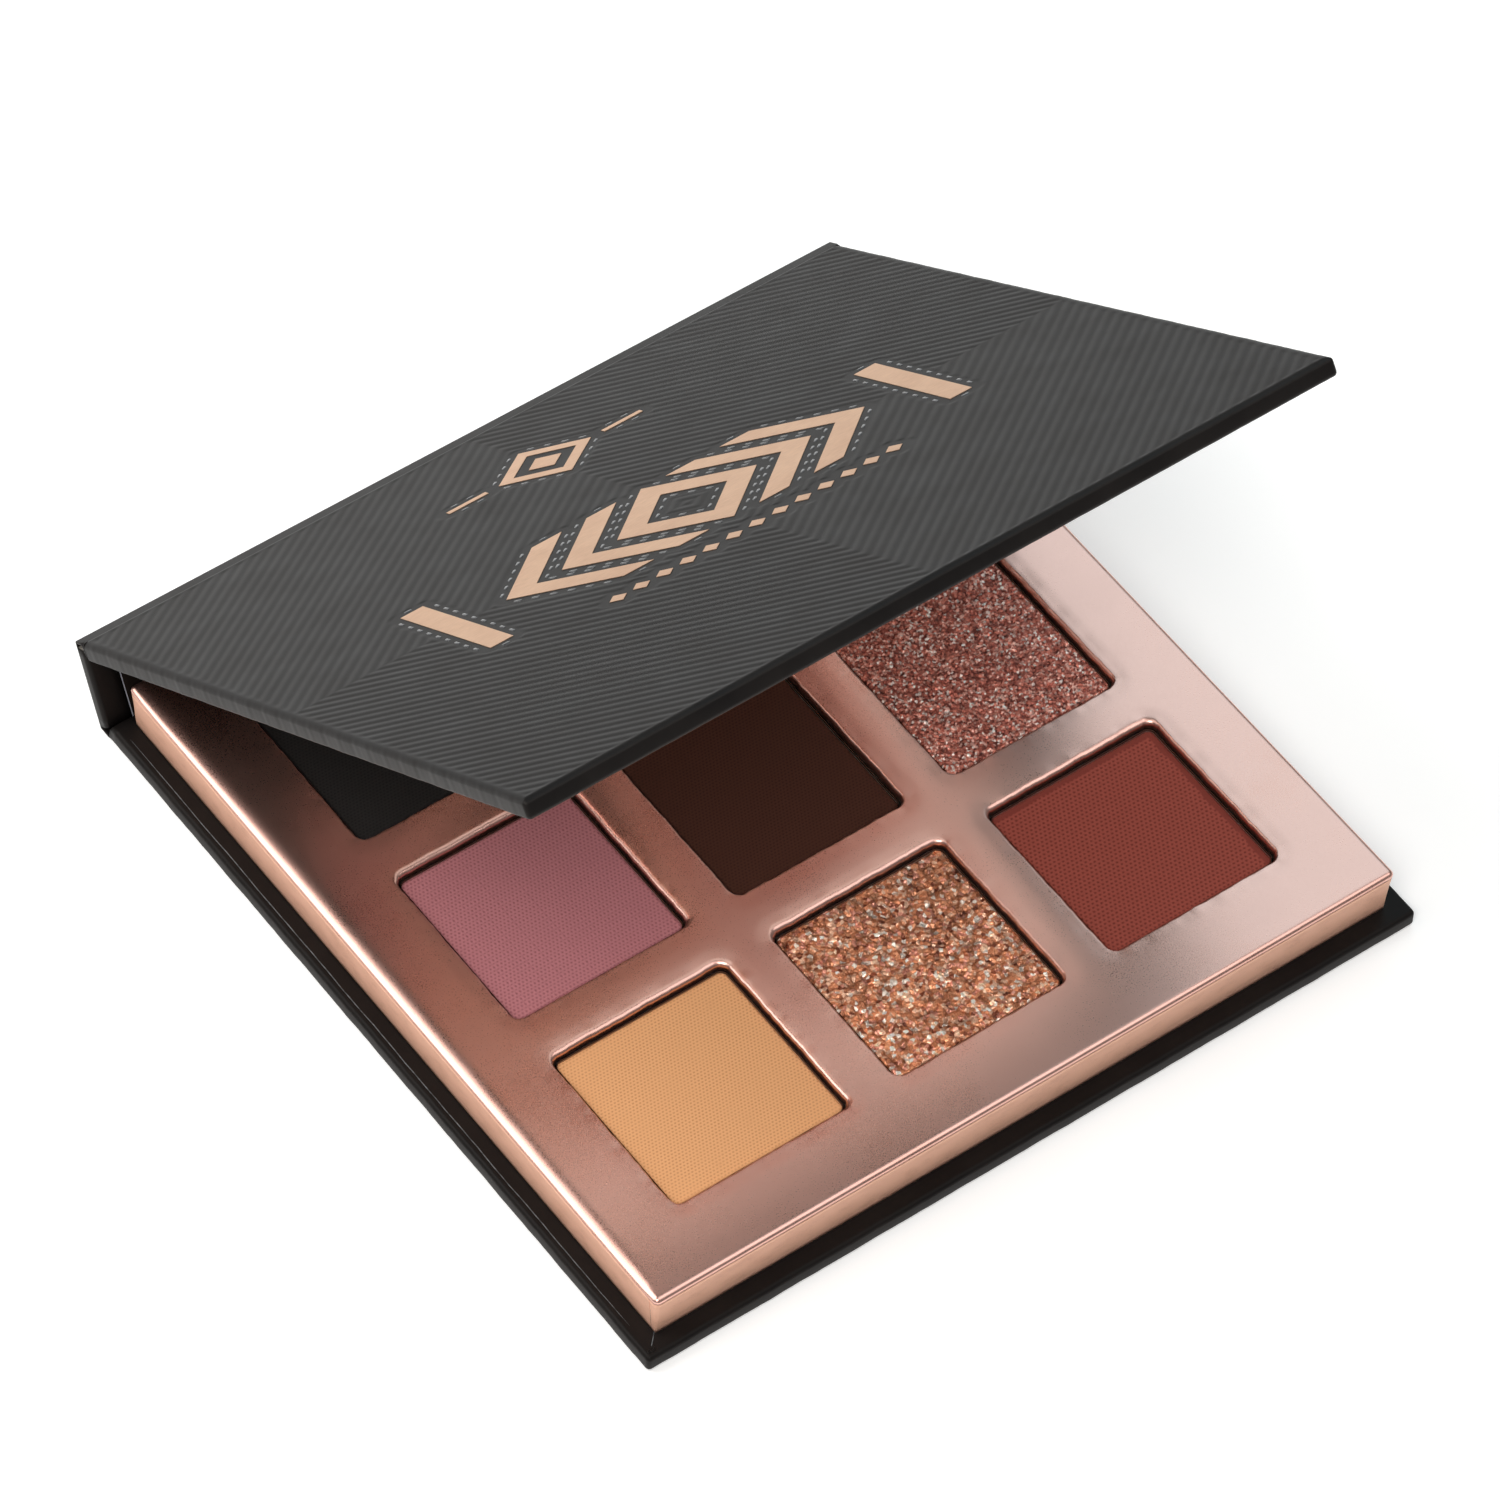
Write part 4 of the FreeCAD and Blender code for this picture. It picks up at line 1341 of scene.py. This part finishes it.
def build_tray():
    foil = tray_foil()
    top = thicken(window_sheet("tray_foil_top", foil), FOIL)
    sides = foil_sides(side_foil())
    board_depth = TRAY_TOP - box_mm("tray_upper_window_board")[0][2] - BOARD_INSIDE
    board = window_sheet(
        "tray_upper_board", grey_board("grey_board_upper"), BOARD_INSIDE, board_depth,
        board_depth)
    thicken(board, BOARD_SHEET)
    for thing, node, slot in (
            (top, "tray_foil_top_sheet", "tray_foil"),
            (sides, "tray_foil_side_wrap", "tray_foil"),
            (board, "tray_upper_window_board", "grey_board")):
        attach(thing, "base")
        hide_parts(node)


GOLD_FLAKES = (
    (220, 146, 106), (202, 126, 88), (244, 190, 158),
    (228, 152, 128), (255, 236, 220), (146, 80, 56))
GOLD_SHARES = (0.28, 0.24, 0.2, 0.13, 0.08, 0.07)
ROSE_FLAKES = (
    (204, 122, 104), (166, 88, 74), (240, 180, 164), (255, 232, 222), (122, 60, 50))
ROSE_SHARES = (0.36, 0.28, 0.18, 0.08, 0.1)
CHAMPAGNE_FLAKES = ((222, 190, 160), (190, 152, 122), (244, 228, 210), (150, 112, 88))
CHAMPAGNE_SHARES = (0.4, 0.28, 0.16, 0.16)


def matte(name, dark, light, relief, step):
    """Recipe of a plain powder."""
    return matte_powder(name, dark, light), relief, step, None


def glitter(look, step, flakes, tilt, rise, palette, shares, shade, painted_shadow_slope=0.0):
    """Recipe of a powder of pressed flakes; flakes is their size, clump size and seed."""
    relief = flaky(*flakes, tilt, rise)
    return look, relief, step, flake_tints(*flakes, palette, shares, shade, painted_shadow_slope)


def powder_recipes():
    """What fills each pan: (row, column) -> (material, relief, step, tints)."""
    gold = glitter_powder("powder_gold_glitter", 0.5, 0.16, 0.32)
    rose = glitter_powder("powder_rose_glitter", 0.5, 0.28, 0.45)
    champagne = glitter_powder("powder_champagne_glitter", 0.55, 0.25, 0.42)
    return {
        (0, 0): matte("powder_yellow", (188, 125, 80), (228, 169, 119),
                      canvas(0.44, 0.06, 21), 0.088),
        # The gold's last number paints the lid's shadow over its back right.
        (0, 1): glitter(gold, 0.075, (0.42, 1.05, 41), 0.3, 0.08,
                        GOLD_FLAKES, GOLD_SHARES, 0.4, 0.25),
        (0, 2): matte("powder_red", (104, 41, 34), (152, 73, 61),
                      pitted(0.56, 0.11, 23), 0.08),
        (1, 0): matte("powder_mauve", (136, 78, 83), (182, 117, 122),
                      ribbed(0.48, 0.065, 24), 0.08),
        (1, 1): matte("powder_dark_brown", (48, 23, 16), (72, 40, 29),
                      canvas(0.44, 0.05, 25), 0.088),
        (1, 2): glitter(rose, 0.075, (0.26, 0.5, 42), 0.36, 0.06,
                        ROSE_FLAKES, ROSE_SHARES, 0.35),
        (2, 0): matte("powder_black", (20, 19, 19), (38, 35, 34),
                      canvas(0.44, 0.05, 26), 0.088),
        (2, 1): glitter(champagne, 0.085, (0.28, 0.7, 43), 0.32, 0.06,
                        CHAMPAGNE_FLAKES, CHAMPAGNE_SHARES, 0.4),
        (2, 2): matte("powder_beige_brown", (132, 96, 74), (170, 130, 104),
                      canvas(0.44, 0.05, 27), 0.088),
    }


def build_powders():
    aluminium = pan_aluminium()
    for (row, column), (look, relief, step, tints) in powder_recipes().items():
        spot = ROWS[row] + "_" + COLUMNS[column]
        node = "powder_" + spot
        top = box_mm(node)[1][2]
        cx, cy = window_middle(row, column)
        thing = powder_piece("pressed_powder_" + spot, cx, cy, top, relief, look, step, tints)
        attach(thing, "base")
        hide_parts(node)
        pan = pan_piece("aluminium_pan_" + spot, cx, cy, aluminium)
        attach(pan, "base")
        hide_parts("pan_" + spot)


def dress_the_rest():
    steel = magnet_steel()
    board = grey_board()
    for node in frame["nodes"]:
        if "magnet" in node:
            dress(node, steel)
        elif node.endswith("board"):
            dress(node, board)
    sticky = tape()
    dress("pan_glue_pads", sticky)
    dress("lid_mirror_tape", sticky)
    dress("lid_mirror", mirror_glass())
    dress("lid_foil_ornament", ornament_foil())


# ---- stage


def make_floor():
    look = Look("floor_paper", Specular_IOR_Level=0.2)
    tone = look.ramp(look.noise(60.0, look.place()), (244, 243, 242), (248, 247, 246))
    look.colour(tone)
    look.feed(look.shader.inputs["Emission Color"], tone)
    look.feed(look.shader.inputs["Emission Strength"], 0.33)
    look.rough(0.8)
    reach = 3000.0
    points = [(x * reach, y * reach, 0) for x, y in ((-1, -1), (1, -1), (1, 1), (-1, 1))]
    floor = make_mesh("floor", points, [[0, 1, 2, 3]], look.material)


def area_light(name, where, target, size, power, colour=(1, 1, 1)):
    data = bpy.data.lights.new(name, "AREA")
    data.shape = "RECTANGLE"
    data.size, data.size_y = size[0] * MM, size[1] * MM
    data.energy = power
    data.color = colour
    light = bpy.data.objects.new(name, data)
    light.location = Vector(where) * MM
    light.rotation_euler = (Vector(target) - Vector(where)).to_track_quat("-Z", "Y").to_euler()
    bpy.context.scene.collection.objects.link(light)


def make_lights():
    middle, above = (0, 0, 0), (0, 0, 20)
    warm, pale_blue = (1.0, 0.98, 0.95), (0.6, 0.86, 0.97)
    area_light("key_front_left", (-370, -330, 630), middle, (360, 360), 2.75, warm)
    area_light("high_back_right", (560, 400, 860), middle, (400, 400), 0.13)
    area_light("back_right_softbox", (425, 330, 560), (20, 0, 0), (500, 500), 0.94, pale_blue)
    area_light("left_back_panel", (-400, 380, 560), above, (600, 640), 3.75, (1.0, 0.99, 0.97))
    area_light("front_right_panel", (250, -250, 680), above, (420, 520), 1.15)
    world = bpy.data.worlds.new("studio")
    world.use_nodes = True
    back = world.node_tree.nodes["Background"]
    back.inputs["Color"].default_value = (0.94, 0.93, 0.92, 1)
    back.inputs["Strength"].default_value = 0.18
    bpy.context.scene.world = world


# Where the camera stands and what it is aimed at, in millimetres.
VIEW_AIM = Vector((-2.75, -1.79, 17.59))
VIEW_DISTANCE = 930.4
VIEW_AZIMUTH = math.radians(-38.98)
VIEW_ELEVATION = math.radians(52.28)
VIEW_ROLL = math.radians(3.59)
LENS = 207.0


def make_camera():
    data = bpy.data.cameras.new("camera")
    data.lens = LENS
    data.sensor_width = 36.0
    data.clip_start, data.clip_end = 0.01, 20.0
    camera = bpy.data.objects.new("camera", data)
    flat = math.cos(VIEW_ELEVATION)
    back = Vector((
        math.sin(VIEW_AZIMUTH) * flat, -math.cos(VIEW_AZIMUTH) * flat, math.sin(VIEW_ELEVATION)))
    turn = (-back).to_track_quat("-Z", "Y").to_matrix().to_4x4()
    turn = turn @ Matrix.Rotation(VIEW_ROLL, 4, "Z")
    camera.matrix_world = Matrix.Translation((VIEW_AIM + back * VIEW_DISTANCE) * MM) @ turn
    bpy.context.scene.collection.objects.link(camera)
    bpy.context.scene.camera = camera
    bpy.context.scene.view_settings.view_transform = "Standard"


build_case()
build_tray()
build_powders()
dress_the_rest()
make_floor()
make_lights()
make_camera()
